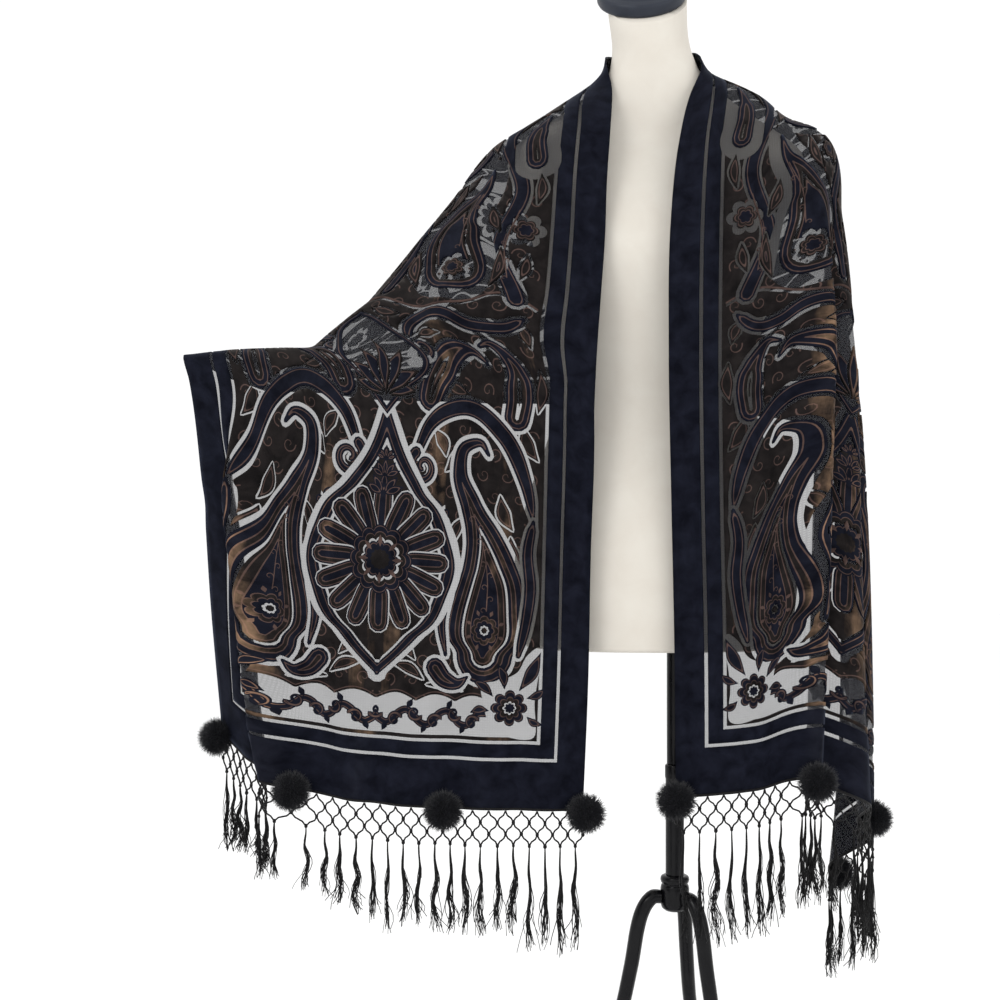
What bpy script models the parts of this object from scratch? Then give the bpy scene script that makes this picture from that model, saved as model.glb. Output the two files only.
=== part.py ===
"""Evening stole with a knotted fringe and fur pompoms, worn open on a dress form.

The stole is one long rectangle of burnout velvet. Its neck edge passes behind the
neck of the form and falls down both fronts. The left end is spread out sideways as
a wing, so the cloth turns over a slanting ridge from the front to the back. The
right end falls from the shoulder in deep folds.

Metres, +Z up. +X is the viewer's right and -Y is the front. While it is modelled,
the neck of the form stands over X = 0 and Y = 0. At the end the whole object is
moved so that the middle of its box on the floor is the origin.
"""

import math

import bmesh
import bpy
import numpy as np
from mathutils import Vector
from mathutils.bvhtree import BVHTree

NAME = "evening_stole_on_dress_form"

# The flat cut of the stole and its wall.
CLOTH_WIDTH = 0.50
CLOTH_LENGTH = 2.07
CLOTH_WALL = 0.0016
SEAM_GAP = 0.00035
FRINGE_GAP = 0.00090

# Rows and columns of the mesh: start, end and number of steps of each span.
ROW_SPANS = (
    (0.00, 0.43, 9),
    (0.43, 0.53, 8),
    (0.53, 1.30, 24),
    (1.30, CLOTH_LENGTH, 16),
)
COLUMN_SPANS = (
    (0.00, 0.15, 6),
    (0.15, 0.43, 20),
    (0.43, CLOTH_WIDTH, 4),
)

# Where the stole lies. Each row is one line across the cloth, so the columns are its
# distance from the left hem, how far in from the neck edge its ridge lies, and the
# places of the neck edge, the front, the ridge, the back and the long outer edge.
STATIONS = (
    (0.000, 0.250, (-0.097, -0.120, 0.439), (-0.219, -0.127, 0.444),
     (-0.342, -0.120, 0.450), (-0.462, -0.085, 0.470), (-0.540, 0.000, 0.509)),
    (0.150, 0.250, (-0.091, -0.122, 0.589), (-0.214, -0.128, 0.594),
     (-0.336, -0.124, 0.600), (-0.461, -0.090, 0.615), (-0.552, -0.010, 0.662)),
    (0.300, 0.250, (-0.088, -0.124, 0.739), (-0.209, -0.130, 0.748),
     (-0.331, -0.125, 0.757), (-0.453, -0.095, 0.774), (-0.561, -0.020, 0.812)),
    (0.430, 0.250, (-0.084, -0.126, 0.869), (-0.206, -0.130, 0.885),
     (-0.325, -0.115, 0.903), (-0.450, -0.075, 0.932), (-0.575, -0.035, 0.947)),
    (0.465, 0.385, (-0.084, -0.126, 0.904), (-0.270, -0.120, 0.932),
     (-0.470, -0.038, 0.974), (-0.530, -0.026, 0.980), (-0.585, -0.020, 0.978)),
    (0.490, 0.385, (-0.083, -0.126, 0.929), (-0.270, -0.115, 0.962),
     (-0.480, -0.008, 0.988), (-0.530, 0.006, 0.986), (-0.578, 0.010, 0.976)),
    (0.530, 0.285, (-0.081, -0.126, 0.969), (-0.240, -0.105, 1.000),
     (-0.398, -0.005, 1.010), (-0.462, 0.045, 0.968), (-0.535, 0.036, 0.952)),
    (0.600, 0.240, (-0.076, -0.124, 1.039), (-0.205, -0.095, 1.062),
     (-0.336, 0.000, 1.067), (-0.400, 0.075, 0.985), (-0.463, 0.056, 0.940)),
    (0.670, 0.205, (-0.071, -0.120, 1.108), (-0.180, -0.092, 1.125),
     (-0.287, 0.000, 1.127), (-0.345, 0.090, 1.025), (-0.396, 0.070, 0.934)),
    (0.740, 0.175, (-0.068, -0.110, 1.176), (-0.158, -0.085, 1.188),
     (-0.240, 0.000, 1.186), (-0.287, 0.100, 1.065), (-0.328, 0.085, 0.931)),
    (0.805, 0.140, (-0.063, -0.095, 1.238), (-0.133, -0.070, 1.248),
     (-0.194, 0.000, 1.245), (-0.235, 0.105, 1.105), (-0.265, 0.095, 0.929)),
    (0.875, 0.085, (-0.058, -0.058, 1.293), (-0.098, -0.036, 1.294),
     (-0.134, 0.008, 1.283), (-0.165, 0.110, 1.115), (-0.197, 0.105, 0.928)),
    (0.945, 0.170, (-0.0565, 0.000, 1.350), (-0.080, 0.068, 1.305),
     (-0.100, 0.100, 1.245), (-0.118, 0.118, 1.085), (-0.128, 0.112, 0.927)),
    (1.045, 0.170, (0.000, 0.070, 1.372), (-0.005, 0.098, 1.293),
     (-0.010, 0.115, 1.210), (-0.020, 0.126, 1.065), (-0.030, 0.122, 0.922)),
    (1.145, 0.170, (0.050, 0.000, 1.356), (0.072, 0.070, 1.310),
     (0.085, 0.105, 1.240), (0.080, 0.120, 1.080), (0.066, 0.120, 0.920)),
    (1.190, 0.135, (0.053, -0.039, 1.330), (0.081, 0.014, 1.325),
     (0.107, 0.062, 1.287), (0.116, 0.117, 1.108), (0.106, 0.121, 0.916)),
    (1.230, 0.100, (0.036, -0.060, 1.290), (0.080, -0.030, 1.312),
     (0.125, 0.010, 1.310), (0.152, 0.112, 1.130), (0.145, 0.120, 0.912)),
    (1.300, 0.190, (0.018, -0.095, 1.222), (0.110, -0.075, 1.245),
     (0.199, -0.005, 1.262), (0.222, 0.070, 1.120), (0.206, 0.110, 0.900)),
    (1.400, 0.190, (0.006, -0.118, 1.125), (0.105, -0.108, 1.140),
     (0.203, -0.060, 1.165), (0.230, 0.030, 1.060), (0.238, 0.100, 0.855)),
    (1.550, 0.190, (0.003, -0.125, 0.975), (0.100, -0.126, 0.985),
     (0.188, -0.100, 1.010), (0.237, -0.005, 0.935), (0.246, 0.098, 0.755)),
    (1.720, 0.190, (0.006, -0.124, 0.805), (0.100, -0.130, 0.812),
     (0.178, -0.115, 0.835), (0.247, -0.008, 0.775), (0.250, 0.098, 0.625)),
    (1.900, 0.190, (0.010, -0.122, 0.625), (0.103, -0.130, 0.632),
     (0.170, -0.124, 0.655), (0.256, -0.004, 0.585), (0.252, 0.102, 0.462)),
    (2.070, 0.190, (0.012, -0.120, 0.454), (0.102, -0.130, 0.466),
     (0.160, -0.128, 0.478), (0.268, 0.004, 0.400), (0.246, 0.118, 0.310)),
)

# The main folds. Each row is one fold: where its crest starts and where it is full
# (distance from the left hem, distance from the neck edge), its half width at each
# end, how far it stands out, and how far it leans towards the outer edge.
FOLDS = {
    "left border": ((0.82, 0.040), (0.00, 0.050), 0.018, 0.030, 0.007, 0.0),
    "left breast": ((0.80, 0.090), (0.00, 0.125), 0.018, 0.034, 0.012, 0.2),
    "left shoulder": ((0.74, 0.140), (0.00, 0.205), 0.018, 0.034, 0.012, 0.0),
    "left drag": ((0.58, 0.215), (0.00, 0.285), 0.022, 0.032, 0.011, 0.0),
    "wing pleat": ((0.43, 0.455), (0.00, 0.352), 0.013, 0.021, 0.022, 1.1),
    "wing hollow": ((0.43, 0.485), (0.00, 0.398), 0.013, 0.022, -0.009, 0.0),
    "wing top": ((0.45, 0.300), (0.22, 0.340), 0.020, 0.030, 0.008, 0.0),
    "wing back": ((0.60, 0.330), (0.56, 0.500), 0.020, 0.028, 0.013, 0.0),
    "wing back hollow": ((0.66, 0.300), (0.64, 0.500), 0.020, 0.030, -0.010, 0.0),
    "left back": ((0.76, 0.260), (0.73, 0.500), 0.022, 0.032, 0.014, 0.0),
    "left nape": ((0.94, 0.120), (0.87, 0.500), 0.020, 0.034, 0.012, 0.0),
    "nape": ((1.05, 0.100), (1.02, 0.500), 0.018, 0.034, 0.014, 0.0),
    "right nape": ((1.16, 0.100), (1.14, 0.500), 0.018, 0.032, 0.012, 0.0),
    "right back": ((1.25, 0.160), (1.24, 0.500), 0.018, 0.030, 0.014, 0.0),
    "right border": ((1.24, 0.040), (2.07, 0.045), 0.016, 0.028, 0.006, 0.0),
    "right breast": ((1.27, 0.085), (2.07, 0.100), 0.018, 0.032, 0.008, 0.0),
    "side crest": ((1.34, 0.170), (2.07, 0.172), 0.014, 0.021, 0.020, 1.1),
    "side hollow": ((1.34, 0.200), (2.07, 0.222), 0.014, 0.026, -0.018, 0.0),
    "side fold": ((1.36, 0.245), (2.07, 0.288), 0.016, 0.026, 0.017, 0.3),
    "side second hollow": ((1.36, 0.280), (2.07, 0.345), 0.016, 0.026, -0.014, 0.0),
    "rear fold": ((1.35, 0.320), (2.07, 0.405), 0.018, 0.026, 0.016, 0.2),
    "rear hollow": ((1.34, 0.360), (2.00, 0.460), 0.018, 0.026, -0.012, 0.0),
    "rear crest": ((1.32, 0.400), (1.70, 0.500), 0.018, 0.028, 0.014, 0.0),
}
FOLD_RISE = 0.35

# The body of the form: height, half width, front depth and back depth.
FORM_BOTTOM = 0.619
FORM_SECTIONS = (
    (FORM_BOTTOM, 0.166, 0.106, 0.112),
    (0.660, 0.172, 0.108, 0.118),
    (0.720, 0.176, 0.108, 0.121),
    (0.800, 0.160, 0.102, 0.112),
    (0.870, 0.136, 0.091, 0.096),
    (0.930, 0.121, 0.085, 0.084),
    (0.985, 0.126, 0.089, 0.087),
    (1.045, 0.139, 0.097, 0.094),
    (1.100, 0.149, 0.102, 0.101),
    (1.150, 0.160, 0.094, 0.105),
    (1.190, 0.176, 0.080, 0.102),
    (1.215, 0.184, 0.068, 0.093),
    (1.233, 0.182, 0.058, 0.080),
    (1.250, 0.164, 0.050, 0.068),
    (1.270, 0.133, 0.047, 0.060),
    (1.290, 0.103, 0.046, 0.056),
    (1.310, 0.076, 0.046, 0.053),
    (1.330, 0.058, 0.047, 0.050),
    (1.350, 0.051, 0.048, 0.049),
    (1.4245, 0.049, 0.049, 0.049),
)
FORM_ROUNDNESS = 2.3
FORM_RINGS = 28
FORM_SIDES = 28
BUST_HEIGHT = 1.105
BUST_SPREAD = 0.078
BUST_RISE = 0.016
BUST_RADIUS = 0.055
# The neck leans to the viewer's left above this height, by this much at its top.
NECK_LEAN_FROM = 1.300
NECK_LEAN = -0.010
# Height and distance of the middle of the wall from the form.
CLOTH_TO_FORM = ((0.60, 0.0027), (1.27, 0.0027), (1.31, 0.0068), (1.41, 0.0068))

# The neck cap leans forward, and to the viewer's left, with the top of the neck.
CAP_TILT = math.radians(40.0)
CAP_ROLL = math.radians(7.0)
CAP_ASIDE = -0.007
# The neck's top is slanted with the cap; the slant grows from nothing at this height.
SLANT_FROM = 1.335
CAP_PROFILE = (
    (0.0000, 0.0230), (0.0270, 0.0225), (0.0415, 0.0205), (0.0445, 0.0180),
    (0.0535, 0.0170), (0.0555, 0.0140), (0.0555, 0.0040), (0.0535, 0.0004),
    (0.0000, 0.0004),
)

# The stand: turned pieces as radius and height, from the top down.
POLE_X = 0.0245
POLE_PROFILE = ((0.0, FORM_BOTTOM - SEAM_GAP), (0.0100, FORM_BOTTOM - SEAM_GAP),
                (0.0100, 0.4704), (0.0, 0.4704))
SLEEVE_PROFILE = (
    (0.0, 0.4700), (0.0112, 0.4700), (0.0124, 0.4680), (0.0124, 0.4540),
    (0.0116, 0.4520), (0.0116, 0.3324), (0.0, 0.3324),
)
HUB_PROFILE = (
    (0.0, 0.3320), (0.0135, 0.3320), (0.0172, 0.3302), (0.0182, 0.3265),
    (0.0172, 0.3228), (0.0156, 0.3212), (0.0172, 0.3190), (0.0180, 0.3150),
    (0.0180, 0.2965), (0.0164, 0.2912), (0.0120, 0.2876), (0.0, 0.2862),
)
TURNED_STEPS = 16
LEG_COUNT = 3
LEG_FIRST_ANGLE = math.radians(-52.0)
HUB_RADIUS = 0.0180
# Distance out from the pole, height, and radius of the leg there.
LEG_ROUTE = (
    (HUB_RADIUS + 0.0008, 0.3052, 0.0085),
    (0.0290, 0.3045, 0.0090),
    (0.0400, 0.2910, 0.0092),
    (0.0480, 0.2660, 0.0092),
    (0.0570, 0.2150, 0.0090),
    (0.0740, 0.1500, 0.0086),
    (0.1100, 0.0880, 0.0080),
    (0.1700, 0.0400, 0.0074),
    (0.2300, 0.0195, 0.0070),
    (0.2580, 0.0186, 0.0070),
)
FOOT_OUT = 0.2450
FOOT_RADIUS = 0.0150
FOOT_HEIGHT = 0.0105

# The knotted fringe below each short hem.
NET_COLUMNS = 27
NET_ROWS = 3
NET_DROP = 0.0135
NET_HEADER = 0.0030
NET_CORD = 0.0011
NET_WALL = 0.0022
STRAND_STEPS = 3
STRAND_HALF = 0.0016
# Distance from the neck edge and the length that the strands have there.
STRAND_LENGTH = {
    "left": ((0.00, 0.120), (0.12, 0.094), (0.25, 0.092), (0.33, 0.068), (0.42, 0.068),
             (0.50, 0.090)),
    "right": ((0.00, 0.122), (0.12, 0.114), (0.18, 0.084), (0.26, 0.104), (0.50, 0.100)),
}
STRAND_VARIES = 0.014
STRAND_SWAY = 0.0035

# The pompoms, at equal distances along each short hem.
POMPOM_COUNT = 4
POMPOM_REACH = 0.0225
POMPOM_CORE = 0.0190
POMPOM_OUT = 0.0100
POMPOM_LOCKS = 20
POMPOM_DROP = 0.004
SEAT_STEP = 0.0004

# Colours (red, green, blue), roughness and metallic value.
FINISHES = {
    "velvet": ((0.012, 0.012, 0.018), 0.95, 0.0),
    "fringe": ((0.010, 0.010, 0.012), 0.60, 0.0),
    "fur": ((0.008, 0.008, 0.010), 0.90, 0.0),
    "form": ((0.790, 0.760, 0.700), 0.35, 0.0),
    "stand": ((0.014, 0.014, 0.018), 0.22, 0.0),
    "foot": ((0.010, 0.010, 0.010), 0.80, 0.0),
}


def clear_scene():
    """Removes every object that the file opens with."""
    for thing in list(bpy.data.objects):
        bpy.data.objects.remove(thing)


def finish(name):
    """The named finish as a Principled BSDF material."""
    found = bpy.data.materials.get(name)
    if found:
        return found
    colour, roughness, metallic = FINISHES[name]
    made = bpy.data.materials.new(name)
    made.use_nodes = True
    shader = made.node_tree.nodes["Principled BSDF"]
    shader.inputs["Base Color"].default_value = (*colour, 1.0)
    shader.inputs["Roughness"].default_value = roughness
    shader.inputs["Metallic"].default_value = metallic
    made.diffuse_color = (*colour, 1.0)
    return made


def add(name, data, material, collection):
    """An object of that mesh or curve, in the collection, with its finish."""
    thing = bpy.data.objects.new(name, data)
    data.materials.append(finish(material))
    collection.objects.link(thing)
    return thing


def mesh_from(name, bm):
    """The bmesh as a smooth-shaded mesh."""
    mesh = bpy.data.meshes.new(name)
    bm.to_mesh(mesh)
    bm.free()
    mesh.shade_smooth()
    mesh.set_sharp_from_angle(angle=math.radians(50.0))
    return mesh


def spline(knots, values, at):
    """A smooth curve through the values at the knots, read at each place in at."""
    knots = np.asarray(knots, float)
    values = np.asarray(values, float)
    at = np.atleast_1d(np.asarray(at, float))
    shape = (-1,) + (1,) * (values.ndim - 1)
    gaps = np.diff(knots)
    slope = np.diff(values, axis=0) / gaps.reshape(shape)
    tangent = np.empty_like(values)
    tangent[0], tangent[-1] = slope[0], slope[-1]
    before, after = gaps[:-1].reshape(shape), gaps[1:].reshape(shape)
    tangent[1:-1] = (slope[:-1] * after + slope[1:] * before) / (before + after)
    i = np.clip(np.searchsorted(knots, at, side="right") - 1, 0, len(gaps) - 1)
    t = ((at - knots[i]) / gaps[i]).reshape(shape)
    gap = gaps[i].reshape(shape)
    start = (2 * t**3 - 3 * t**2 + 1) * values[i] + (t**3 - 2 * t**2 + t) * gap * tangent[i]
    end = (3 * t**2 - 2 * t**3) * values[i + 1] + (t**3 - t**2) * gap * tangent[i + 1]
    return start + end


def unit(vectors):
    """Each vector at length 1."""
    return vectors / np.maximum(np.linalg.norm(vectors, axis=-1, keepdims=True), 1e-12)


def smooth_step(x):
    """0 below 0, 1 above 1, and a soft rise between."""
    x = np.clip(x, 0.0, 1.0)
    return x * x * (3.0 - 2.0 * x)


def plain_drape(along, across):
    """The stole without its folds: a grid of points, along by across."""
    lines = []
    for _, ridge, *points in STATIONS:
        knots = (0.0, ridge / 2, ridge, (ridge + CLOTH_WIDTH) / 2, CLOTH_WIDTH)
        lines.append(spline(knots, points, across))
    return spline([row[0] for row in STATIONS], np.array(lines), along)


def fold_heights(along, across):
    """How far the folds stand out and lean at each point of the grid."""
    s, v = np.meshgrid(along, across, indexing="ij")
    out = np.zeros_like(s)
    lean = np.zeros_like(s)
    for start, full, narrow, wide, height, leaning in FOLDS.values():
        step = np.array(full) - np.array(start)
        length = np.linalg.norm(step)
        step = step / length
        ahead = ((s - start[0]) * step[0] + (v - start[1]) * step[1]) / length
        aside = (s - start[0]) * -step[1] + (v - start[1]) * step[0]
        half = narrow + (wide - narrow) * np.clip(ahead, 0.0, 1.0)
        crest = np.exp(-((aside / half) ** 2)) * smooth_step(ahead / FOLD_RISE) * height
        out += crest
        lean += crest * leaning
    return out, lean


def form_radius(height, angle):
    """How far the body of the form reaches from its axis at a height and an angle."""
    table = np.array(FORM_SECTIONS)
    height = np.clip(height, table[0, 0], table[-1, 0])
    flat = np.ravel(height)
    half, front, back = spline(table[:, 0], table[:, 1:], flat).T.reshape(3, *np.shape(height))
    depth = np.where(np.sin(angle) < 0.0, front, back)
    power = FORM_ROUNDNESS
    reach = (np.abs(np.cos(angle) / half) ** power
             + np.abs(np.sin(angle) / depth) ** power) ** (-1.0 / power)
    side = np.abs(reach * np.cos(angle)) - BUST_SPREAD
    cup = np.exp(-((side / BUST_RADIUS) ** 2) - ((height - BUST_HEIGHT) / BUST_RADIUS) ** 2)
    return reach + BUST_RISE * cup * np.clip(-np.sin(angle), 0.0, 1.0)


def neck_shift(height):
    """How far along X the middle of the form has leant at a height."""
    top = FORM_SECTIONS[-1][0]
    return NECK_LEAN * smooth_step((height - NECK_LEAN_FROM) / (top - NECK_LEAN_FROM))


def neck_slant(x, y, height):
    """How far a point of the form rises with the slanted top of the neck."""
    top = FORM_SECTIONS[-1][0]
    share = np.clip((height - SLANT_FROM) / (top - SLANT_FROM), 0.0, 1.0)
    return share * (x * math.tan(CAP_ROLL) + y * math.tan(CAP_TILT) / math.cos(CAP_ROLL))


def outside_form(points):
    """How far outside the body of the form each point lies, measured level."""
    x = points[..., 0] - neck_shift(points[..., 2])
    reach = np.hypot(x, points[..., 1])
    angle = np.arctan2(points[..., 1], x)
    return reach - form_radius(points[..., 2], angle)


def clear_of_form(points):
    """The points, with those that would sink into the form laid on its surface."""
    points = points.copy()
    heights, distances = zip(*CLOTH_TO_FORM)
    probe = 1e-4
    for _ in range(8):
        level = outside_form(points)
        slope = np.stack(
            [(outside_form(points + probe * axis) - level) / probe for axis in np.eye(3)],
            axis=-1,
        )
        steepness = np.maximum(np.linalg.norm(slope, axis=-1), 0.3)
        distance = np.interp(points[..., 2], heights, distances)
        short = np.clip(distance - level / steepness, 0.0, None)
        inside = (points[..., 2] > FORM_BOTTOM - 0.02)
        points += unit(slope) * (short * inside)[..., None]
    return points


def drape(along, across):
    """The middle of the stole's wall: a grid of points, along by across."""
    points = plain_drape(along, across)
    down_cloth = np.gradient(points, along, axis=0)
    over_cloth = np.gradient(points, across, axis=1)
    outward = unit(np.cross(down_cloth, over_cloth))
    out, lean = fold_heights(along, across)
    points = points + outward * out[..., None] + unit(over_cloth) * lean[..., None]
    return clear_of_form(points)


def steps_of(spans):
    """The places of the mesh lines that the spans ask for."""
    places = [spans[0][0]]
    for start, end, steps in spans:
        places.extend(np.linspace(start, end, steps + 1)[1:])
    return np.array(places)


def build_stole(collection, grid):
    """The cloth: a flat grid laid on the drape, with Solidify for its wall."""
    rows, columns = grid.shape[:2]
    bm = bmesh.new()
    bmesh.ops.create_grid(bm, x_segments=rows - 1, y_segments=columns - 1, size=1.0)
    for vertex in bm.verts:
        i = round((vertex.co.x + 1.0) / 2.0 * (rows - 1))
        j = round((vertex.co.y + 1.0) / 2.0 * (columns - 1))
        vertex.co = grid[i, j]
    stole = add("stole", mesh_from("stole", bm), "velvet", collection)
    wall = stole.modifiers.new("wall", "SOLIDIFY")
    wall.thickness = CLOTH_WALL
    wall.offset = 0.0
    return stole


class Hem:
    """One short hem of the draped cloth, read at any distance from the neck edge."""

    def __init__(self, edge, inner, turn):
        """edge is the row of the hem, inner the row next to it, and turn is 1 or -1."""
        self.edge = edge
        self.inner = inner
        self.turn = turn
        self.columns = steps_of(COLUMN_SPANS)

    def point(self, v):
        """The place of the hem at v, on the straight edges of the mesh."""
        return np.array([np.interp(v, self.columns, self.edge[:, k]) for k in range(3)])

    def tangent(self, v):
        """The level direction of the hem at v, towards the outer edge."""
        step = 0.012
        low = self.point(max(v - step, 0.0))
        high = self.point(min(v + step, CLOTH_WIDTH))
        return unit((high - low) * (1.0, 1.0, 0.0))

    def outward(self, v):
        """The level direction that faces away from the wearer at v."""
        ahead = self.tangent(v)
        return np.array((ahead[1], -ahead[0], 0.0)) * self.turn


def net_point(hem, v, drop, sway=0.0, swing=0.0):
    """A point of the fringe at v, that far below the hem, moved along and outward."""
    v = min(max(v, 0.0), CLOTH_WIDTH)
    below = hem.point(v) - np.array((0.0, 0.0, FRINGE_GAP + drop))
    return below + hem.tangent(v) * sway + hem.outward(v) * swing


def build_fringe(collection, side, hem):
    """The header, the knotted net and its strands, as one flat web with Solidify."""
    bm = bmesh.new()
    pitch = CLOTH_WIDTH / NET_COLUMNS

    def vertex(v, drop, sway=0.0, swing=0.0):
        return bm.verts.new(net_point(hem, v, drop, sway, swing))

    def face(*corners):
        bm.faces.new(corners if hem.turn < 0 else corners[::-1])

    # The header's upper side follows every corner of the hem. Its lower side has three
    # points at each knot, so that two cords can leave it.
    knots = range(NET_COLUMNS + 1)
    top = {k: vertex(k * pitch, 0.0) for k in knots}
    middle = {k: vertex(k * pitch, NET_HEADER) for k in knots}
    left = {k: vertex(k * pitch - NET_CORD, NET_HEADER) for k in knots if k > 0}
    right = {k: vertex(k * pitch + NET_CORD, NET_HEADER) for k in knots if k < NET_COLUMNS}
    for k in range(NET_COLUMNS):
        low, high = k * pitch + 0.0005, (k + 1) * pitch - 0.0005
        corners = [vertex(v, 0.0) for v in hem.columns if low < v < high]
        face(top[k], *corners, top[k + 1], middle[k + 1], left[k + 1], right[k], middle[k])

    # Each knot is a small lozenge, whose four sides take the four cords. The knots of
    # the last row have a flat foot, from which a strand hangs.
    cords_left = {k: (left[k], middle[k]) for k in left}
    cords_right = {k: (middle[k], right[k]) for k in right}
    feet = []
    for row in range(1, NET_ROWS + 1):
        shifted = row % 2 == 1
        count = NET_COLUMNS if shifted else NET_COLUMNS + 1
        next_left, next_right = {}, {}
        for k in range(count):
            v = (k + 0.5) * pitch if shifted else k * pitch
            drop = NET_HEADER + row * NET_DROP
            last = row == NET_ROWS
            first_edge, last_edge = not shifted and k == 0, not shifted and k == count - 1
            high = vertex(v, drop - 1.3 * NET_CORD)
            west = high if first_edge else vertex(v - 1.1 * NET_CORD, drop)
            east = high if last_edge else vertex(v + 1.1 * NET_CORD, drop)
            if first_edge:
                west = vertex(v, drop)
            if last_edge:
                east = vertex(v, drop)
            if last:
                foot_left = vertex(v - STRAND_HALF, drop + 1.3 * NET_CORD)
                foot_right = vertex(v + STRAND_HALF, drop + 1.3 * NET_CORD)
                face(high, east, foot_right, foot_left, west)
                feet.append((v, drop + 1.3 * NET_CORD, foot_left, foot_right))
            else:
                low = vertex(v, drop + 1.3 * NET_CORD)
                face(high, east, low, west)
                next_left[k] = (west, low)
                next_right[k] = (low, east)
            upper_left = k if shifted else k - 1
            upper_right = k + 1 if shifted else k
            if upper_left in cords_right:
                start, end = cords_right[upper_left]
                face(start, end, high, west)
            if upper_right in cords_left:
                start, end = cords_left[upper_right]
                face(start, end, east, high)
        cords_left, cords_right = next_left, next_right

    for index, (v, drop, left, right) in enumerate(feet):
        length = float(np.interp(v, *zip(*STRAND_LENGTH[side])))
        length += STRAND_VARIES * math.sin(index * 2.3) * 0.5
        phase = index * 1.7
        for step in range(1, STRAND_STEPS + 1):
            share = step / STRAND_STEPS
            sway = STRAND_SWAY * share * math.sin(phase + 4.0 * share)
            swing = 2.0 * STRAND_SWAY * share**3 * math.sin(phase * 1.3 + 3.0 * share)
            low = drop + length * share
            half = STRAND_HALF * (1.0 - 0.3 * share)
            next_one = vertex(v, low, sway - half, swing)
            next_two = vertex(v, low, sway + half, swing)
            face(left, right, next_two, next_one)
            left, right = next_one, next_two

    fringe = add(f"fringe_{side}", mesh_from(f"fringe_{side}", bm), "fringe", collection)
    wall = fringe.modifiers.new("wall", "SOLIDIFY")
    wall.thickness = NET_WALL
    wall.offset = 0.0
    return fringe


def seat(bm, outward, carriers):
    """Moves the ball outward until it is just clear of the cloth and of the net."""
    bpy.context.view_layer.update()
    graph = bpy.context.evaluated_depsgraph_get()
    trees = [BVHTree.FromObject(carrier, graph) for carrier in carriers]
    step = outward * SEAT_STEP
    for _ in range(int(2 * POMPOM_REACH / SEAT_STEP)):
        ball = BVHTree.FromBMesh(bm)
        if not any(ball.overlap(tree) for tree in trees):
            break
        bmesh.ops.translate(bm, verts=bm.verts, vec=step)
    bmesh.ops.translate(bm, verts=bm.verts, vec=outward * SEAM_GAP)


def build_pompom(collection, name, hem, v, carriers):
    """A fur ball with short locks, its back pressed flat against the cloth."""
    facing = Vector(hem.outward(v))
    centre = hem.point(v) - np.array((0.0, 0.0, POMPOM_DROP))
    bm = bmesh.new()
    bmesh.ops.create_icosphere(bm, subdivisions=2, radius=POMPOM_CORE)
    bm.faces.ensure_lookup_table()
    golden = math.pi * (3.0 - math.sqrt(5.0))
    chosen = []
    for k in range(POMPOM_LOCKS):
        z = 1.0 - 2.0 * (k + 0.5) / POMPOM_LOCKS
        ring = math.sqrt(1.0 - z * z)
        aim = Vector((ring * math.cos(golden * k), ring * math.sin(golden * k), z))
        free = [f for f in bm.faces if f not in chosen]
        chosen.append(max(free, key=lambda f: f.normal.dot(aim)))
    poked = bmesh.ops.poke(bm, faces=chosen)
    for tip in poked["verts"]:
        tip.co = tip.co.normalized() * POMPOM_REACH
    for vertex in bm.verts:
        behind = -POMPOM_OUT - vertex.co.dot(facing)
        if behind > 0.0:
            vertex.co += facing * behind
        vertex.co += Vector(centre)
    seat(bm, facing, carriers)
    return add(name, mesh_from(name, bm), "fur", collection)


def build_form(collection):
    """The body and neck of the form, from the rings of a sphere laid on its sections."""
    bm = bmesh.new()
    bmesh.ops.create_uvsphere(
        bm, u_segments=FORM_SIDES, v_segments=FORM_RINGS + 1, radius=1.0
    )
    top = FORM_SECTIONS[-1][0]
    for vertex in bm.verts:
        ring = round((math.asin(max(-1.0, min(1.0, vertex.co.z))) / math.pi + 0.5)
                     * (FORM_RINGS + 1))
        at_end = ring in (0, FORM_RINGS + 1)
        share = (min(max(ring, 1), FORM_RINGS) - 1) / (FORM_RINGS - 1)
        height = FORM_BOTTOM + (top - FORM_BOTTOM) * share
        angle = math.atan2(vertex.co.y, vertex.co.x)
        reach = 0.0 if at_end else float(form_radius(np.array(height), np.array(angle)))
        vertex.co = Vector((reach * math.cos(angle), reach * math.sin(angle), height))
        vertex.co.z += neck_slant(vertex.co.x, vertex.co.y, height)
        vertex.co.x += neck_shift(height)
    return add("form_body", mesh_from("form_body", bm), "form", collection)


def build_turned(collection, name, profile, material, steps=TURNED_STEPS):
    """A turned piece: its profile as a line of edges, with a Screw modifier."""
    mesh = bpy.data.meshes.new(name)
    points = [(radius, 0.0, height) for radius, height in profile]
    mesh.from_pydata(points, [(k, k + 1) for k in range(len(points) - 1)], [])
    turned = add(name, mesh, material, collection)
    screw = turned.modifiers.new("turning", "SCREW")
    screw.steps = steps
    screw.render_steps = steps
    screw.use_merge_vertices = True
    screw.merge_threshold = 0.00005
    screw.use_smooth_shade = False
    return turned


def build_neck_cap(collection):
    """The cap on the neck, leaning with it."""
    cap = build_turned(collection, "neck_cap", CAP_PROFILE, "stand", steps=28)
    cap.rotation_euler = (CAP_TILT, -CAP_ROLL, 0.0)
    aside = cap.rotation_euler.to_matrix() @ Vector((CAP_ASIDE, 0.0, 0.0))
    cap.location = Vector((NECK_LEAN, 0.0, FORM_SECTIONS[-1][0])) + aside
    return cap


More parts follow.
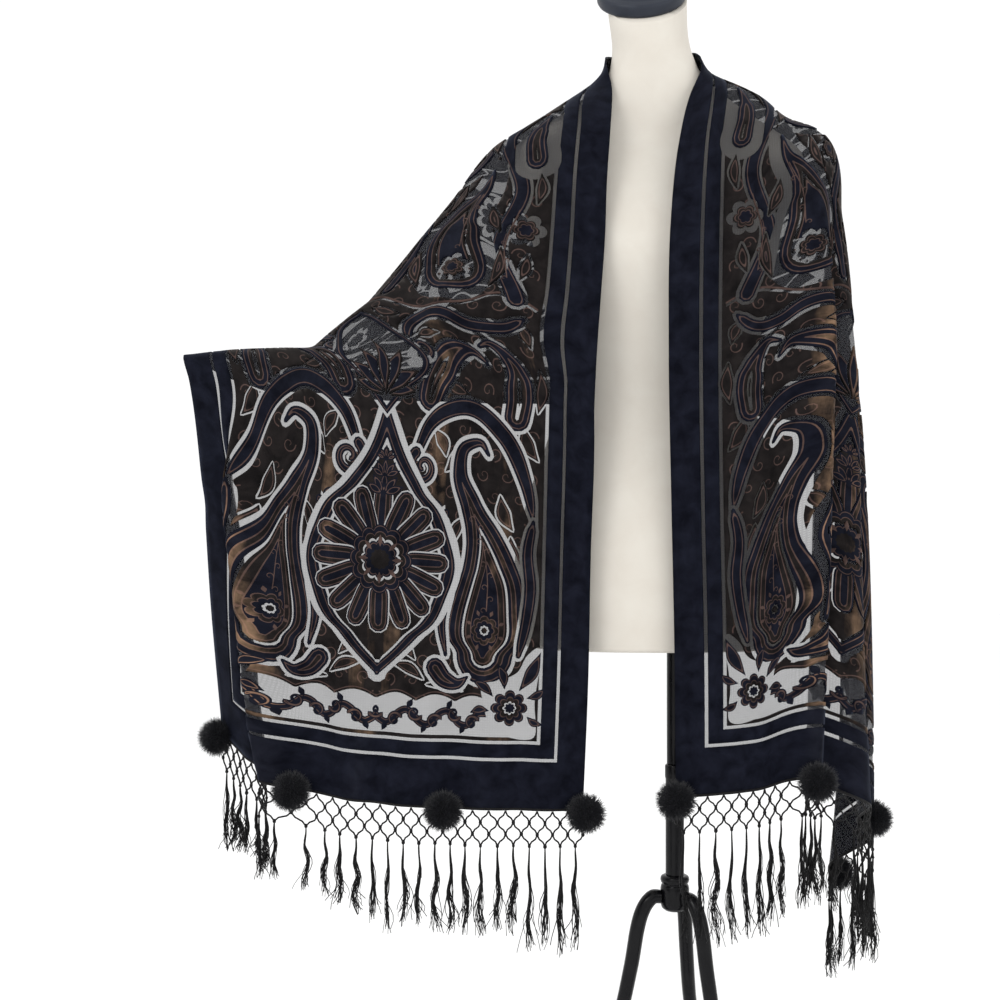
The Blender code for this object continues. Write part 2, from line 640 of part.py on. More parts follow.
def build_stand(collection):
    """The pole, its sleeve, the turned hub, and the curved legs on their feet."""
    for name, profile in (("pole", POLE_PROFILE), ("sleeve", SLEEVE_PROFILE),
                          ("hub", HUB_PROFILE)):
        piece = build_turned(collection, name, profile, "stand")
        piece.location = (POLE_X, 0.0, 0.0)
    for k in range(LEG_COUNT):
        angle = LEG_FIRST_ANGLE + k * 2.0 * math.pi / LEG_COUNT
        build_leg(collection, k + 1, angle)
        build_foot(collection, k + 1, angle)


def build_leg(collection, number, angle):
    """One leg: a curve with a round bevel whose radius follows the route's table."""
    curve = bpy.data.curves.new(f"leg_{number}", "CURVE")
    curve.dimensions = "3D"
    curve.bevel_depth = 1.0
    curve.bevel_resolution = 2
    curve.use_fill_caps = True
    line = curve.splines.new("POLY")
    distances = np.linspace(0.0, 1.0, len(LEG_ROUTE))
    places = spline(distances, LEG_ROUTE, np.linspace(0.0, 1.0, 2 * len(LEG_ROUTE) - 1))
    line.points.add(len(places) - 1)
    for point, (out, height, radius) in zip(line.points, places):
        point.co = (out, 0.0, height, 1.0)
        point.radius = radius
    leg = add(f"leg_{number}", curve, "stand", collection)
    leg.location = (POLE_X, 0.0, 0.0)
    leg.rotation_euler = (0.0, 0.0, angle)
    return leg


def build_foot(collection, number, angle):
    """The round pad below the end of a leg, flat on the floor."""
    bm = bmesh.new()
    bmesh.ops.create_cone(
        bm, cap_ends=True, segments=16, radius1=FOOT_RADIUS, radius2=FOOT_RADIUS * 0.85,
        depth=FOOT_HEIGHT,
    )
    foot = add(f"foot_{number}", mesh_from(f"foot_{number}", bm), "foot", collection)
    foot.location = (
        POLE_X + FOOT_OUT * math.cos(angle),
        FOOT_OUT * math.sin(angle),
        FOOT_HEIGHT / 2,
    )
    return foot


def centre_on_floor(collection):
    """Moves every object so that the middle of the object's box is over the origin."""
    bpy.context.view_layer.update()
    graph = bpy.context.evaluated_depsgraph_get()
    corners = []
    for thing in collection.objects:
        ready = thing.evaluated_get(graph)
        shape = ready.to_mesh()
        place = np.array(ready.matrix_world)
        points = np.array([vertex.co for vertex in shape.vertices])
        corners.append(points @ place[:3, :3].T + place[:3, 3])
        ready.to_mesh_clear()
    points = np.concatenate(corners)
    middle = (points.min(axis=0) + points.max(axis=0)) / 2
    shift = Vector((-middle[0], -middle[1], -points[:, 2].min()))
    for thing in collection.objects:
        thing.location += shift


def main():
    """Builds every piece, in one collection."""
    clear_scene()
    collection = bpy.data.collections.new(NAME)
    bpy.context.scene.collection.children.link(collection)
    grid = drape(steps_of(ROW_SPANS), steps_of(COLUMN_SPANS))
    stole = build_stole(collection, grid)
    hems = {"left": Hem(grid[0], grid[1], -1), "right": Hem(grid[-1], grid[-2], 1)}
    for side, hem in hems.items():
        fringe = build_fringe(collection, side, hem)
        for k in range(POMPOM_COUNT):
            v = CLOTH_WIDTH * k / (POMPOM_COUNT - 1)
            name = f"pompom_{side}_{k + 1}"
            build_pompom(collection, name, hem, v, (stole, fringe))
    build_form(collection)
    build_neck_cap(collection)
    build_stand(collection)
    centre_on_floor(collection)


main()
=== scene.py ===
"""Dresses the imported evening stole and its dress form, and lights them.

The burnout cloth is two pieces on one drape: a thin sheer ground, and the velvet pile
that is left standing on it. The pile's pattern is drawn flat, in millimetres across and
along the cloth, cut into triangles, and laid on the drape.
"""

import logging
import math
from dataclasses import dataclass, field
from enum import Enum
from typing import Callable, Optional, Sequence, Union

import bmesh
import bpy
import numpy as np
from mathutils import Euler, Matrix, Vector
from mathutils.geometry import delaunay_2d_cdt


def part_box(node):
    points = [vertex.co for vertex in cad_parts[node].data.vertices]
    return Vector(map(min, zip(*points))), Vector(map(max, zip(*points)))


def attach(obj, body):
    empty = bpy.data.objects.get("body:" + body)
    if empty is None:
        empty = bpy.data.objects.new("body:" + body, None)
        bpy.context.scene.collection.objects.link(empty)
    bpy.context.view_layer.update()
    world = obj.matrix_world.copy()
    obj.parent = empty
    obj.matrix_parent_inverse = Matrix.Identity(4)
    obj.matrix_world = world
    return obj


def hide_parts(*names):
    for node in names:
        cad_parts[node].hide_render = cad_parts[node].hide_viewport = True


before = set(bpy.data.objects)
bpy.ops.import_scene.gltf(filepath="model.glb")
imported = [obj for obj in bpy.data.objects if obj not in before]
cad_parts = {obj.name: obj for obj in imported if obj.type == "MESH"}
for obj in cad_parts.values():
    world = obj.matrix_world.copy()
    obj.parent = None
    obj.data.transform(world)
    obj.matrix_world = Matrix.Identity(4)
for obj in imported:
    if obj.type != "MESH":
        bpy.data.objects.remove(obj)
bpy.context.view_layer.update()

LOG = logging.getLogger("stole")
Colour = tuple[float, float, float]
Fed = Union[bpy.types.NodeSocket, float, tuple]

# The flat cut of the stole, in metres.
CLOTH_WIDTH = 0.50
CLOTH_LENGTH = 2.07

# Where the stole lies. Each row is one line across the cloth, so the columns are its
# distance from the left hem, how far in from the neck edge its ridge lies, and the
# places of the neck edge, the front, the ridge, the back and the long outer edge.
STATIONS = (
    (0.000, 0.250, (-0.097, -0.120, 0.439), (-0.219, -0.127, 0.444),
     (-0.342, -0.120, 0.450), (-0.462, -0.085, 0.470), (-0.540, 0.000, 0.509)),
    (0.150, 0.250, (-0.091, -0.122, 0.589), (-0.214, -0.128, 0.594),
     (-0.336, -0.124, 0.600), (-0.461, -0.090, 0.615), (-0.552, -0.010, 0.662)),
    (0.300, 0.250, (-0.088, -0.124, 0.739), (-0.209, -0.130, 0.748),
     (-0.331, -0.125, 0.757), (-0.453, -0.095, 0.774), (-0.561, -0.020, 0.812)),
    (0.430, 0.250, (-0.084, -0.126, 0.869), (-0.206, -0.130, 0.885),
     (-0.325, -0.115, 0.903), (-0.450, -0.075, 0.932), (-0.575, -0.035, 0.947)),
    (0.465, 0.385, (-0.084, -0.126, 0.904), (-0.270, -0.120, 0.932),
     (-0.470, -0.038, 0.974), (-0.530, -0.026, 0.980), (-0.585, -0.020, 0.978)),
    (0.490, 0.385, (-0.083, -0.126, 0.929), (-0.270, -0.115, 0.962),
     (-0.480, -0.008, 0.988), (-0.530, 0.006, 0.986), (-0.578, 0.010, 0.976)),
    (0.530, 0.285, (-0.081, -0.126, 0.969), (-0.240, -0.105, 1.000),
     (-0.398, -0.005, 1.010), (-0.462, 0.045, 0.968), (-0.535, 0.036, 0.952)),
    (0.600, 0.240, (-0.076, -0.124, 1.039), (-0.205, -0.095, 1.062),
     (-0.336, 0.000, 1.067), (-0.400, 0.075, 0.985), (-0.463, 0.056, 0.940)),
    (0.670, 0.205, (-0.071, -0.120, 1.108), (-0.180, -0.092, 1.125),
     (-0.287, 0.000, 1.127), (-0.345, 0.090, 1.025), (-0.396, 0.070, 0.934)),
    (0.740, 0.175, (-0.068, -0.110, 1.176), (-0.158, -0.085, 1.188),
     (-0.240, 0.000, 1.186), (-0.287, 0.100, 1.065), (-0.328, 0.085, 0.931)),
    (0.805, 0.140, (-0.063, -0.095, 1.238), (-0.133, -0.070, 1.248),
     (-0.194, 0.000, 1.245), (-0.235, 0.105, 1.105), (-0.265, 0.095, 0.929)),
    (0.875, 0.085, (-0.058, -0.058, 1.293), (-0.098, -0.036, 1.294),
     (-0.134, 0.008, 1.283), (-0.165, 0.110, 1.115), (-0.197, 0.105, 0.928)),
    (0.945, 0.170, (-0.0565, 0.000, 1.350), (-0.080, 0.068, 1.305),
     (-0.100, 0.100, 1.245), (-0.118, 0.118, 1.085), (-0.128, 0.112, 0.927)),
    (1.045, 0.170, (0.000, 0.070, 1.372), (-0.005, 0.098, 1.293),
     (-0.010, 0.115, 1.210), (-0.020, 0.126, 1.065), (-0.030, 0.122, 0.922)),
    (1.145, 0.170, (0.050, 0.000, 1.356), (0.072, 0.070, 1.310),
     (0.085, 0.105, 1.240), (0.080, 0.120, 1.080), (0.066, 0.120, 0.920)),
    (1.190, 0.135, (0.053, -0.039, 1.330), (0.081, 0.014, 1.325),
     (0.107, 0.062, 1.287), (0.116, 0.117, 1.108), (0.106, 0.121, 0.916)),
    (1.230, 0.100, (0.036, -0.060, 1.290), (0.080, -0.030, 1.312),
     (0.125, 0.010, 1.310), (0.152, 0.112, 1.130), (0.145, 0.120, 0.912)),
    (1.300, 0.190, (0.018, -0.095, 1.222), (0.110, -0.075, 1.245),
     (0.199, -0.005, 1.262), (0.222, 0.070, 1.120), (0.206, 0.110, 0.900)),
    (1.400, 0.190, (0.006, -0.118, 1.125), (0.105, -0.108, 1.140),
     (0.203, -0.060, 1.165), (0.230, 0.030, 1.060), (0.238, 0.100, 0.855)),
    (1.550, 0.190, (0.003, -0.125, 0.975), (0.100, -0.126, 0.985),
     (0.188, -0.100, 1.010), (0.237, -0.005, 0.935), (0.246, 0.098, 0.755)),
    (1.720, 0.190, (0.006, -0.124, 0.805), (0.100, -0.130, 0.812),
     (0.178, -0.115, 0.835), (0.247, -0.008, 0.775), (0.250, 0.098, 0.625)),
    (1.900, 0.190, (0.010, -0.122, 0.625), (0.103, -0.130, 0.632),
     (0.170, -0.124, 0.655), (0.256, -0.004, 0.585), (0.252, 0.102, 0.462)),
    (2.070, 0.190, (0.012, -0.120, 0.454), (0.102, -0.130, 0.466),
     (0.160, -0.128, 0.478), (0.268, 0.004, 0.400), (0.246, 0.118, 0.310)),
)

# The main folds: where the crest starts and the place it runs towards (distance from the
# left hem, distance from the neck edge), its half width at each, how far it stands out,
# and how far it leans towards the outer edge, as a share of that.
FOLDS = (
    ((0.82, 0.040), (0.00, 0.050), 0.018, 0.030, 0.007, 0.0),
    ((0.80, 0.090), (0.00, 0.125), 0.018, 0.034, 0.012, 0.2),
    ((0.74, 0.140), (0.00, 0.205), 0.018, 0.034, 0.012, 0.0),
    ((0.58, 0.215), (0.00, 0.285), 0.022, 0.032, 0.011, 0.0),
    ((0.43, 0.455), (0.00, 0.352), 0.013, 0.021, 0.022, 1.1),
    ((0.43, 0.485), (0.00, 0.398), 0.013, 0.022, -0.009, 0.0),
    ((0.45, 0.300), (0.22, 0.340), 0.020, 0.030, 0.008, 0.0),
    ((0.60, 0.330), (0.56, 0.500), 0.020, 0.028, 0.013, 0.0),
    ((0.66, 0.300), (0.64, 0.500), 0.020, 0.030, -0.010, 0.0),
    ((0.76, 0.260), (0.73, 0.500), 0.022, 0.032, 0.014, 0.0),
    ((0.94, 0.120), (0.87, 0.500), 0.020, 0.034, 0.012, 0.0),
    ((1.05, 0.100), (1.02, 0.500), 0.018, 0.034, 0.014, 0.0),
    ((1.16, 0.100), (1.14, 0.500), 0.018, 0.032, 0.012, 0.0),
    ((1.25, 0.160), (1.24, 0.500), 0.018, 0.030, 0.014, 0.0),
    ((1.24, 0.040), (2.07, 0.045), 0.016, 0.028, 0.006, 0.0),
    ((1.27, 0.085), (2.07, 0.100), 0.018, 0.032, 0.008, 0.0),
    ((1.34, 0.170), (2.07, 0.172), 0.014, 0.021, 0.020, 1.1),
    ((1.34, 0.200), (2.07, 0.222), 0.014, 0.026, -0.018, 0.0),
    ((1.36, 0.245), (2.07, 0.288), 0.016, 0.026, 0.017, 0.3),
    ((1.36, 0.280), (2.07, 0.345), 0.016, 0.026, -0.014, 0.0),
    ((1.35, 0.320), (2.07, 0.405), 0.018, 0.026, 0.016, 0.2),
    ((1.34, 0.360), (2.00, 0.460), 0.018, 0.026, -0.012, 0.0),
    ((1.32, 0.400), (1.70, 0.500), 0.018, 0.028, 0.014, 0.0),
)
# The share of a fold's length over which it comes to its full height, and a usual height.
FOLD_RISE = 0.35
FOLD_FULL = 0.012

# Small creases that the solid leaves out, in the same columns.
CREASES = (
    ((0.86, 0.060), (0.40, 0.080), 0.006, 0.012, 0.0022, 0.0),
    ((0.84, 0.105), (0.46, 0.150), 0.006, 0.012, -0.0024, 0.0),
    ((0.80, 0.120), (0.42, 0.190), 0.006, 0.013, 0.0026, 0.0),
    ((0.76, 0.160), (0.50, 0.250), 0.007, 0.013, -0.0024, 0.0),
    ((0.70, 0.180), (0.36, 0.300), 0.007, 0.014, 0.0028, 0.0),
    ((0.64, 0.220), (0.50, 0.330), 0.007, 0.013, -0.0022, 0.0),
    ((0.50, 0.330), (0.20, 0.300), 0.006, 0.014, 0.0020, 0.0),
    ((0.48, 0.380), (0.10, 0.310), 0.006, 0.014, -0.0022, 0.0),
    ((1.28, 0.060), (1.70, 0.065), 0.006, 0.012, 0.0020, 0.0),
    ((1.29, 0.110), (1.80, 0.130), 0.006, 0.012, -0.0022, 0.0),
    ((1.30, 0.150), (1.60, 0.145), 0.006, 0.012, 0.0022, 0.0),
    ((1.33, 0.215), (2.00, 0.255), 0.006, 0.013, 0.0024, 0.0),
    ((1.33, 0.300), (2.00, 0.372), 0.006, 0.013, 0.0024, 0.0),
    ((0.90, 0.200), (0.82, 0.480), 0.008, 0.016, -0.0026, 0.0),
    ((1.00, 0.200), (0.96, 0.480), 0.008, 0.016, 0.0026, 0.0),
    ((1.10, 0.200), (1.08, 0.480), 0.008, 0.016, -0.0026, 0.0),
    ((1.20, 0.220), (1.19, 0.480), 0.008, 0.016, 0.0026, 0.0),
)
CREASE_RISE = 0.25
CREASE_FULL = 0.004

# The body of the form: height, half width, front depth and back depth.
FORM_BOTTOM = 0.619
FORM_SECTIONS = (
    (FORM_BOTTOM, 0.166, 0.106, 0.112),
    (0.660, 0.172, 0.108, 0.118),
    (0.720, 0.176, 0.108, 0.121),
    (0.800, 0.160, 0.102, 0.112),
    (0.870, 0.136, 0.091, 0.096),
    (0.930, 0.121, 0.085, 0.084),
    (0.985, 0.126, 0.089, 0.087),
    (1.045, 0.139, 0.097, 0.094),
    (1.100, 0.149, 0.102, 0.101),
    (1.150, 0.160, 0.094, 0.105),
    (1.190, 0.176, 0.080, 0.102),
    (1.215, 0.184, 0.068, 0.093),
    (1.233, 0.182, 0.058, 0.080),
    (1.250, 0.164, 0.050, 0.068),
    (1.270, 0.133, 0.047, 0.060),
    (1.290, 0.103, 0.046, 0.056),
    (1.310, 0.076, 0.046, 0.053),
    (1.330, 0.058, 0.047, 0.050),
    (1.350, 0.051, 0.048, 0.049),
    (1.4245, 0.049, 0.049, 0.049),
)
FORM_ROUNDNESS = 2.3
BUST_HEIGHT = 1.105
BUST_SPREAD = 0.078
BUST_RISE = 0.016
BUST_RADIUS = 0.055
# The neck leans to the viewer's left above this height, by this much at its top.
NECK_LEAN_FROM = 1.300
NECK_LEAN = -0.010

# Distance from the neck edge and the length that the strands have there.
STRAND_LENGTH = {
    "left": ((0.00, 0.120), (0.12, 0.094), (0.25, 0.092), (0.33, 0.068), (0.42, 0.068),
             (0.50, 0.090)),
    "right": ((0.00, 0.122), (0.12, 0.114), (0.18, 0.084), (0.26, 0.104), (0.50, 0.100)),
}

# Height, and how far from the form the middle of the cloth's wall is kept there.
CLOTH_TO_FORM = ((0.60, 0.0027), (1.27, 0.0027), (1.31, 0.0068), (1.41, 0.0068))
# How the cloth is pushed out: in how many rounds, the step its slope is read over, the
# least slope that is trusted, and how far below the form it still counts.
PUSH_ROUNDS = 8
PUSH_PROBE = 1e-4
PUSH_LEAST_SLOPE = 0.3
PUSH_BELOW = 0.02

# The cap on the neck: how far it tilts forward and to the viewer's left, and how far it
# lies off the neck's middle.
CAP_TILT = math.radians(40.0)
CAP_ROLL = math.radians(7.0)
CAP_ASIDE = -0.007
# The neck's top is slanted with the cap; the slant grows from nothing at this height.
SLANT_FROM = 1.335
# How far the pole stands from the form's axis.
POLE_X = 0.0245
# How many pompoms hang from each short hem.
POMPOMS = 4


class Surface(Enum):
    """What a part of the burnout cloth's pattern is."""

    SHEER = "sheer"
    BORDER = "border"
    MOTIF = "motif"
    LINE = "line"


def spline(knots: Sequence[float], values: Sequence, at: np.ndarray) -> np.ndarray:
    """A smooth curve through the values at the knots.

    Args:
        knots: Where the values lie, rising.
        values: One value or point for each knot.
        at: Where the curve is read.

    Returns:
        The curve at each place in at.
    """
    knots = np.asarray(knots, float)
    values = np.asarray(values, float)
    at = np.atleast_1d(np.asarray(at, float))
    shape = (-1,) + (1,) * (values.ndim - 1)
    gaps = np.diff(knots)
    slope = np.diff(values, axis=0) / gaps.reshape(shape)
    tangent = np.empty_like(values)
    tangent[0], tangent[-1] = slope[0], slope[-1]
    before, after = gaps[:-1].reshape(shape), gaps[1:].reshape(shape)
    tangent[1:-1] = (slope[:-1] * after + slope[1:] * before) / (before + after)
    i = np.clip(np.searchsorted(knots, at, side="right") - 1, 0, len(gaps) - 1)
    t = ((at - knots[i]) / gaps[i]).reshape(shape)
    gap = gaps[i].reshape(shape)
    start = (2 * t**3 - 3 * t**2 + 1) * values[i] + (t**3 - 2 * t**2 + t) * gap * tangent[i]
    end = (3 * t**2 - 2 * t**3) * values[i + 1] + (t**3 - t**2) * gap * tangent[i + 1]
    return start + end


def unit(vectors: np.ndarray) -> np.ndarray:
    """Each vector at length 1."""
    return vectors / np.maximum(np.linalg.norm(vectors, axis=-1, keepdims=True), 1e-12)


def smooth_step(x: np.ndarray) -> np.ndarray:
    """0 below 0, 1 above 1, and a soft rise between."""
    x = np.clip(x, 0.0, 1.0)
    return x * x * (3.0 - 2.0 * x)


def fold_heights(along: np.ndarray, across: np.ndarray, folds: Sequence,
                 rise: float) -> tuple[np.ndarray, np.ndarray]:
    """How far the folds stand out and lean over a grid.

    Args:
        along: Distances from the left hem.
        across: Distances from the neck edge.
        folds: Rows of FOLDS or CREASES.
        rise: The share of a fold's length over which it comes to its full height.

    Returns:
        The height and the lean at each point of the grid, in metres.
    """
    s, v = np.meshgrid(along, across, indexing="ij")
    out, lean = np.zeros_like(s), np.zeros_like(s)
    for start, full, narrow, wide, height, leaning in folds:
        step = np.array(full) - np.array(start)
        length = np.linalg.norm(step)
        step = step / length
        ahead = ((s - start[0]) * step[0] + (v - start[1]) * step[1]) / length
        aside = (s - start[0]) * -step[1] + (v - start[1]) * step[0]
        half = narrow + (wide - narrow) * np.clip(ahead, 0.0, 1.0)
        crest = np.exp(-((aside / half) ** 2)) * smooth_step(ahead / rise) * height
        out += crest
        lean += crest * leaning
    return out, lean


def form_radius(height: np.ndarray, angle: np.ndarray) -> np.ndarray:
    """How far the body of the form reaches from its axis at a height and an angle."""
    table = np.array(FORM_SECTIONS)
    height = np.clip(height, table[0, 0], table[-1, 0])
    flat = np.ravel(height)
    half, front, back = spline(table[:, 0], table[:, 1:], flat).T.reshape(3, *np.shape(height))
    depth = np.where(np.sin(angle) < 0.0, front, back)
    power = FORM_ROUNDNESS
    reach = (np.abs(np.cos(angle) / half) ** power
             + np.abs(np.sin(angle) / depth) ** power) ** (-1.0 / power)
    side = np.abs(reach * np.cos(angle)) - BUST_SPREAD
    cup = np.exp(-((side / BUST_RADIUS) ** 2) - ((height - BUST_HEIGHT) / BUST_RADIUS) ** 2)
    return reach + BUST_RISE * cup * np.clip(-np.sin(angle), 0.0, 1.0)


def neck_shift(height: np.ndarray) -> np.ndarray:
    """How far along X the middle of the form has leant at a height."""
    top = FORM_SECTIONS[-1][0]
    return NECK_LEAN * smooth_step((height - NECK_LEAN_FROM) / (top - NECK_LEAN_FROM))


def neck_slant(x: np.ndarray, y: np.ndarray, height: np.ndarray) -> np.ndarray:
    """How far each point of the form rises with the slanted top of the neck."""
    top = FORM_SECTIONS[-1][0]
    share = np.clip((height - SLANT_FROM) / (top - SLANT_FROM), 0.0, 1.0)
    return share * (x * math.tan(CAP_ROLL) + y * math.tan(CAP_TILT) / math.cos(CAP_ROLL))


def outside_form(points: np.ndarray) -> np.ndarray:
    """How far outside the body of the form each point lies, measured level."""
    x = points[..., 0] - neck_shift(points[..., 2])
    reach = np.hypot(x, points[..., 1])
    angle = np.arctan2(points[..., 1], x)
    return reach - form_radius(points[..., 2], angle)


def clear_of_form(points: np.ndarray) -> np.ndarray:
    """The points, with those that would sink into the form laid on its surface."""
    points = points.copy()
    heights, distances = zip(*CLOTH_TO_FORM)
    for _ in range(PUSH_ROUNDS):
        level = outside_form(points)
        slope = np.stack(
            [(outside_form(points + PUSH_PROBE * axis) - level) / PUSH_PROBE
             for axis in np.eye(3)],
            axis=-1,
        )
        steepness = np.maximum(np.linalg.norm(slope, axis=-1), PUSH_LEAST_SLOPE)
        distance = np.interp(points[..., 2], heights, distances)
        short = np.clip(distance - level / steepness, 0.0, None)
        inside = points[..., 2] > FORM_BOTTOM - PUSH_BELOW
        points += unit(slope) * (short * inside)[..., None]
    return points


def new_mesh(name: str, points: np.ndarray, faces: Sequence) -> bpy.types.Mesh:
    """A smooth-shaded mesh of those points and faces."""
    mesh = bpy.data.meshes.new(name)
    mesh.from_pydata([tuple(p) for p in np.asarray(points, float)], [], faces)
    mesh.shade_smooth()
    return mesh


def new_object(name: str, mesh: bpy.types.ID, *materials: bpy.types.Material) -> bpy.types.Object:
    """An object of the mesh at the origin, with its materials."""
    thing = bpy.data.objects.new(name, mesh)
    for material in materials:
        mesh.materials.append(material)
    bpy.context.scene.collection.objects.link(thing)
    return thing


def finish_piece(thing: bpy.types.Object, slot: str, *nodes: str) -> bpy.types.Object:
    """Lets the piece ride on the object's one body, and hides the solids it stands for."""
    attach(thing, "root")
    if nodes:
        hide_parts(*nodes)
    LOG.info("%s is in place", thing.name)
    return thing


@dataclass
class Drape:
    """The draped cloth, read at any place of its flat cut.

    Args:
        axis: Where the form's axis stands in the object's frame.
        spacing: The spacing of the grid that the cloth is read from.
    """

    axis: Vector
    spacing: float = 0.004
    channels: np.ndarray = field(init=False)
    steps: tuple[float, float] = field(init=False)

    def __post_init__(self) -> None:
        """Works the grid of points, normals and crests out."""
        rows = round(CLOTH_LENGTH / self.spacing) + 1
        columns = round(CLOTH_WIDTH / self.spacing) + 1
        along = np.linspace(0.0, CLOTH_LENGTH, rows)
        across = np.linspace(0.0, CLOTH_WIDTH, columns)
        points = self.plain(along, across)
        for folds, rise in ((FOLDS, FOLD_RISE), (CREASES, CREASE_RISE)):
            down_cloth = np.gradient(points, along, axis=0)
            over_cloth = np.gradient(points, across, axis=1)
            outward = unit(np.cross(down_cloth, over_cloth))
            out, lean = fold_heights(along, across, folds, rise)
            points = points + outward * out[..., None] + unit(over_cloth) * lean[..., None]
        points = clear_of_form(points)
        normal = unit(np.cross(np.gradient(points, along, axis=0),
                               np.gradient(points, across, axis=1)))
        # The crest channel marks the fold tops, where the pile's painted highlight goes.
        crest, _ = fold_heights(along, across, FOLDS, FOLD_RISE)
        small, _ = fold_heights(along, across, CREASES, CREASE_RISE)
        crest = crest / FOLD_FULL + small / CREASE_FULL
        points = points + np.array(self.axis)
        self.channels = np.concatenate((points, normal, crest[..., None]), axis=-1)
        self.steps = (along[1] - along[0], across[1] - across[0])

    @staticmethod
    def plain(along: np.ndarray, across: np.ndarray) -> np.ndarray:
        """The cloth without its folds: a grid of points, along by across."""
        lines = []
        for _, ridge, *points in STATIONS:
            knots = (0.0, ridge / 2, ridge, (ridge + CLOTH_WIDTH) / 2, CLOTH_WIDTH)
            lines.append(spline(knots, points, across))
        return spline([row[0] for row in STATIONS], np.array(lines), along)

    def read(self, along: np.ndarray, across: np.ndarray) -> np.ndarray:
        """The seven channels of the grid at each place, by a cubic blend.

        Args:
            along: Distances from the left hem.
            across: Distances from the neck edge.

        Returns:
            Point, normal and crest, one row for each place.
        """
        total = 0.0
        row, row_blend = self.blend(along / self.steps[0], self.channels.shape[0])
        column, column_blend = self.blend(across / self.steps[1], self.channels.shape[1])
        for i in range(4):
            for j in range(4):
                weight = (row_blend[i] * column_blend[j])[:, None]
                total = total + weight * self.channels[row[i], column[j]]
        return total

    @staticmethod
    def blend(place: np.ndarray, size: int) -> tuple[list[np.ndarray], list[np.ndarray]]:
        """The four nearest lines of the grid and their weights."""
        first = np.clip(np.floor(place).astype(int), 0, size - 2)
        t = place - first
        lines = [np.clip(first + k, 0, size - 1) for k in (-1, 0, 1, 2)]
        weights = [
            (-t + 2 * t**2 - t**3) / 2,
            (2 - 5 * t**2 + 3 * t**3) / 2,
            (t + 4 * t**2 - 3 * t**3) / 2,
            (t**3 - t**2) / 2,
        ]
        return lines, weights

    def lay(self, along: np.ndarray, across: np.ndarray, lift: float) -> np.ndarray:
        """Points on the cloth at each place, lifted off the middle of its wall."""
        found = self.read(np.asarray(along, float), np.asarray(across, float))
        return found[:, :3] + lift * unit(found[:, 3:6])


def smooth_route(route: Sequence[Sequence[float]], count: int) -> np.ndarray:
    """A smooth line through the route's points, evenly spread along its knots."""
    route = np.asarray(route, float)
    far = np.concatenate(([0.0], np.cumsum(np.linalg.norm(np.diff(route, axis=0), axis=1))))
    return spline(far, route, np.linspace(0.0, far[-1], count))


Outline = Optional[np.ndarray]
Shape = Callable[[float], Outline]


@dataclass(frozen=True)
class Tapered:
    """A band along a route, such as a paisley, a leaf, a stem or a scroll.

    Args:
        route: Points of its middle line, in millimetres (across, along).
        halves: Its half width at each of them.
        count: How many points its middle line gets.
        thinnest: The least half width that is drawn.
    """

    route: tuple
    halves: tuple
    count: int = 28
    thinnest: float = 0.25

    def __call__(self, inset: float) -> Outline:
        """The outline, drawn in by the inset, or None where nothing is left."""
        line = smooth_route(self.route, self.count)
        knots = smooth_route([(k, h) for k, h in enumerate(self.halves)], self.count)
        share = np.linspace(0.0, len(self.halves) - 1, self.count)
        half = np.interp(share, knots[:, 0], knots[:, 1]) - inset
        keep = half > self.thinnest
        if keep.sum() < 3:
            return None
        first = int(np.argmax(keep))
        last = self.count - int(np.argmax(keep[::-1]))
        line, half = line[first:last], np.maximum(half[first:last], self.thinnest)
        ahead = unit(np.gradient(line, axis=0))
        side = np.stack((-ahead[:, 1], ahead[:, 0]), axis=1)
        left, right = line + side * half[:, None], line - side * half[:, None]
        start = self.cap(line[0], -ahead[0], side[0], half[0])
        end = self.cap(line[-1], ahead[-1], -side[-1], half[-1])
        return np.concatenate((left, end, right[::-1], start))

    @staticmethod
    def cap(middle: np.ndarray, out: np.ndarray, side: np.ndarray, half: float) -> np.ndarray:
        """The points of a round end, between the band's two sides."""
        steps = max(1, int(half / 3.0) + 1)
        angles = np.linspace(-math.pi / 2, math.pi / 2, steps + 2)[1:-1]
        return np.array([middle + half * (math.cos(a) * out + math.sin(a) * side)
                         for a in angles])


@dataclass(frozen=True)
class Rosette:
    """A round flower with lobes.

    Args:
        centre: Its middle, in millimetres (across, along).
        radius: How far the lobes reach.
        lobes: How many there are.
        depth: How deep the gaps between them are, as a share of the radius.
    """

    centre: tuple[float, float]
    radius: float
    lobes: int
    depth: float = 0.28

    def __call__(self, inset: float) -> Outline:
        """The outline, drawn in by the inset, or None where nothing is left."""
        reach = self.radius - inset
        if reach < 1.0:
            return None
        angles = np.linspace(0.0, 2 * math.pi, self.lobes * 8, endpoint=False)
        ripple = np.abs(np.cos(self.lobes * angles / 2)) ** 0.7
        radius = reach * (1.0 - self.depth * (1.0 - ripple))
        return np.stack((self.centre[0] + radius * np.cos(angles),
                         self.centre[1] + radius * np.sin(angles)), axis=1)


def leaf(root: Sequence[float], aim: float, length: float, half: float,
         bend: float = 0.0) -> Tapered:
    """A pointed leaf.

    Args:
        root: Where it starts, in millimetres (across, along).
        aim: The angle it points to, in degrees.
        length: Its length.
        half: Half its greatest width.
        bend: How far its middle is pushed aside.

    Returns:
        The leaf as a tapered band.
    """
    angle = math.radians(aim)
    ahead = np.array((math.cos(angle), math.sin(angle)))
    side = np.array((-ahead[1], ahead[0]))
    middle = tuple(np.asarray(root) + ahead * length * 0.45 + side * bend)
    tip = tuple(np.asarray(root) + ahead * length)
    return Tapered((tuple(root), middle, tip), (0.3, half, 0.3), 11)


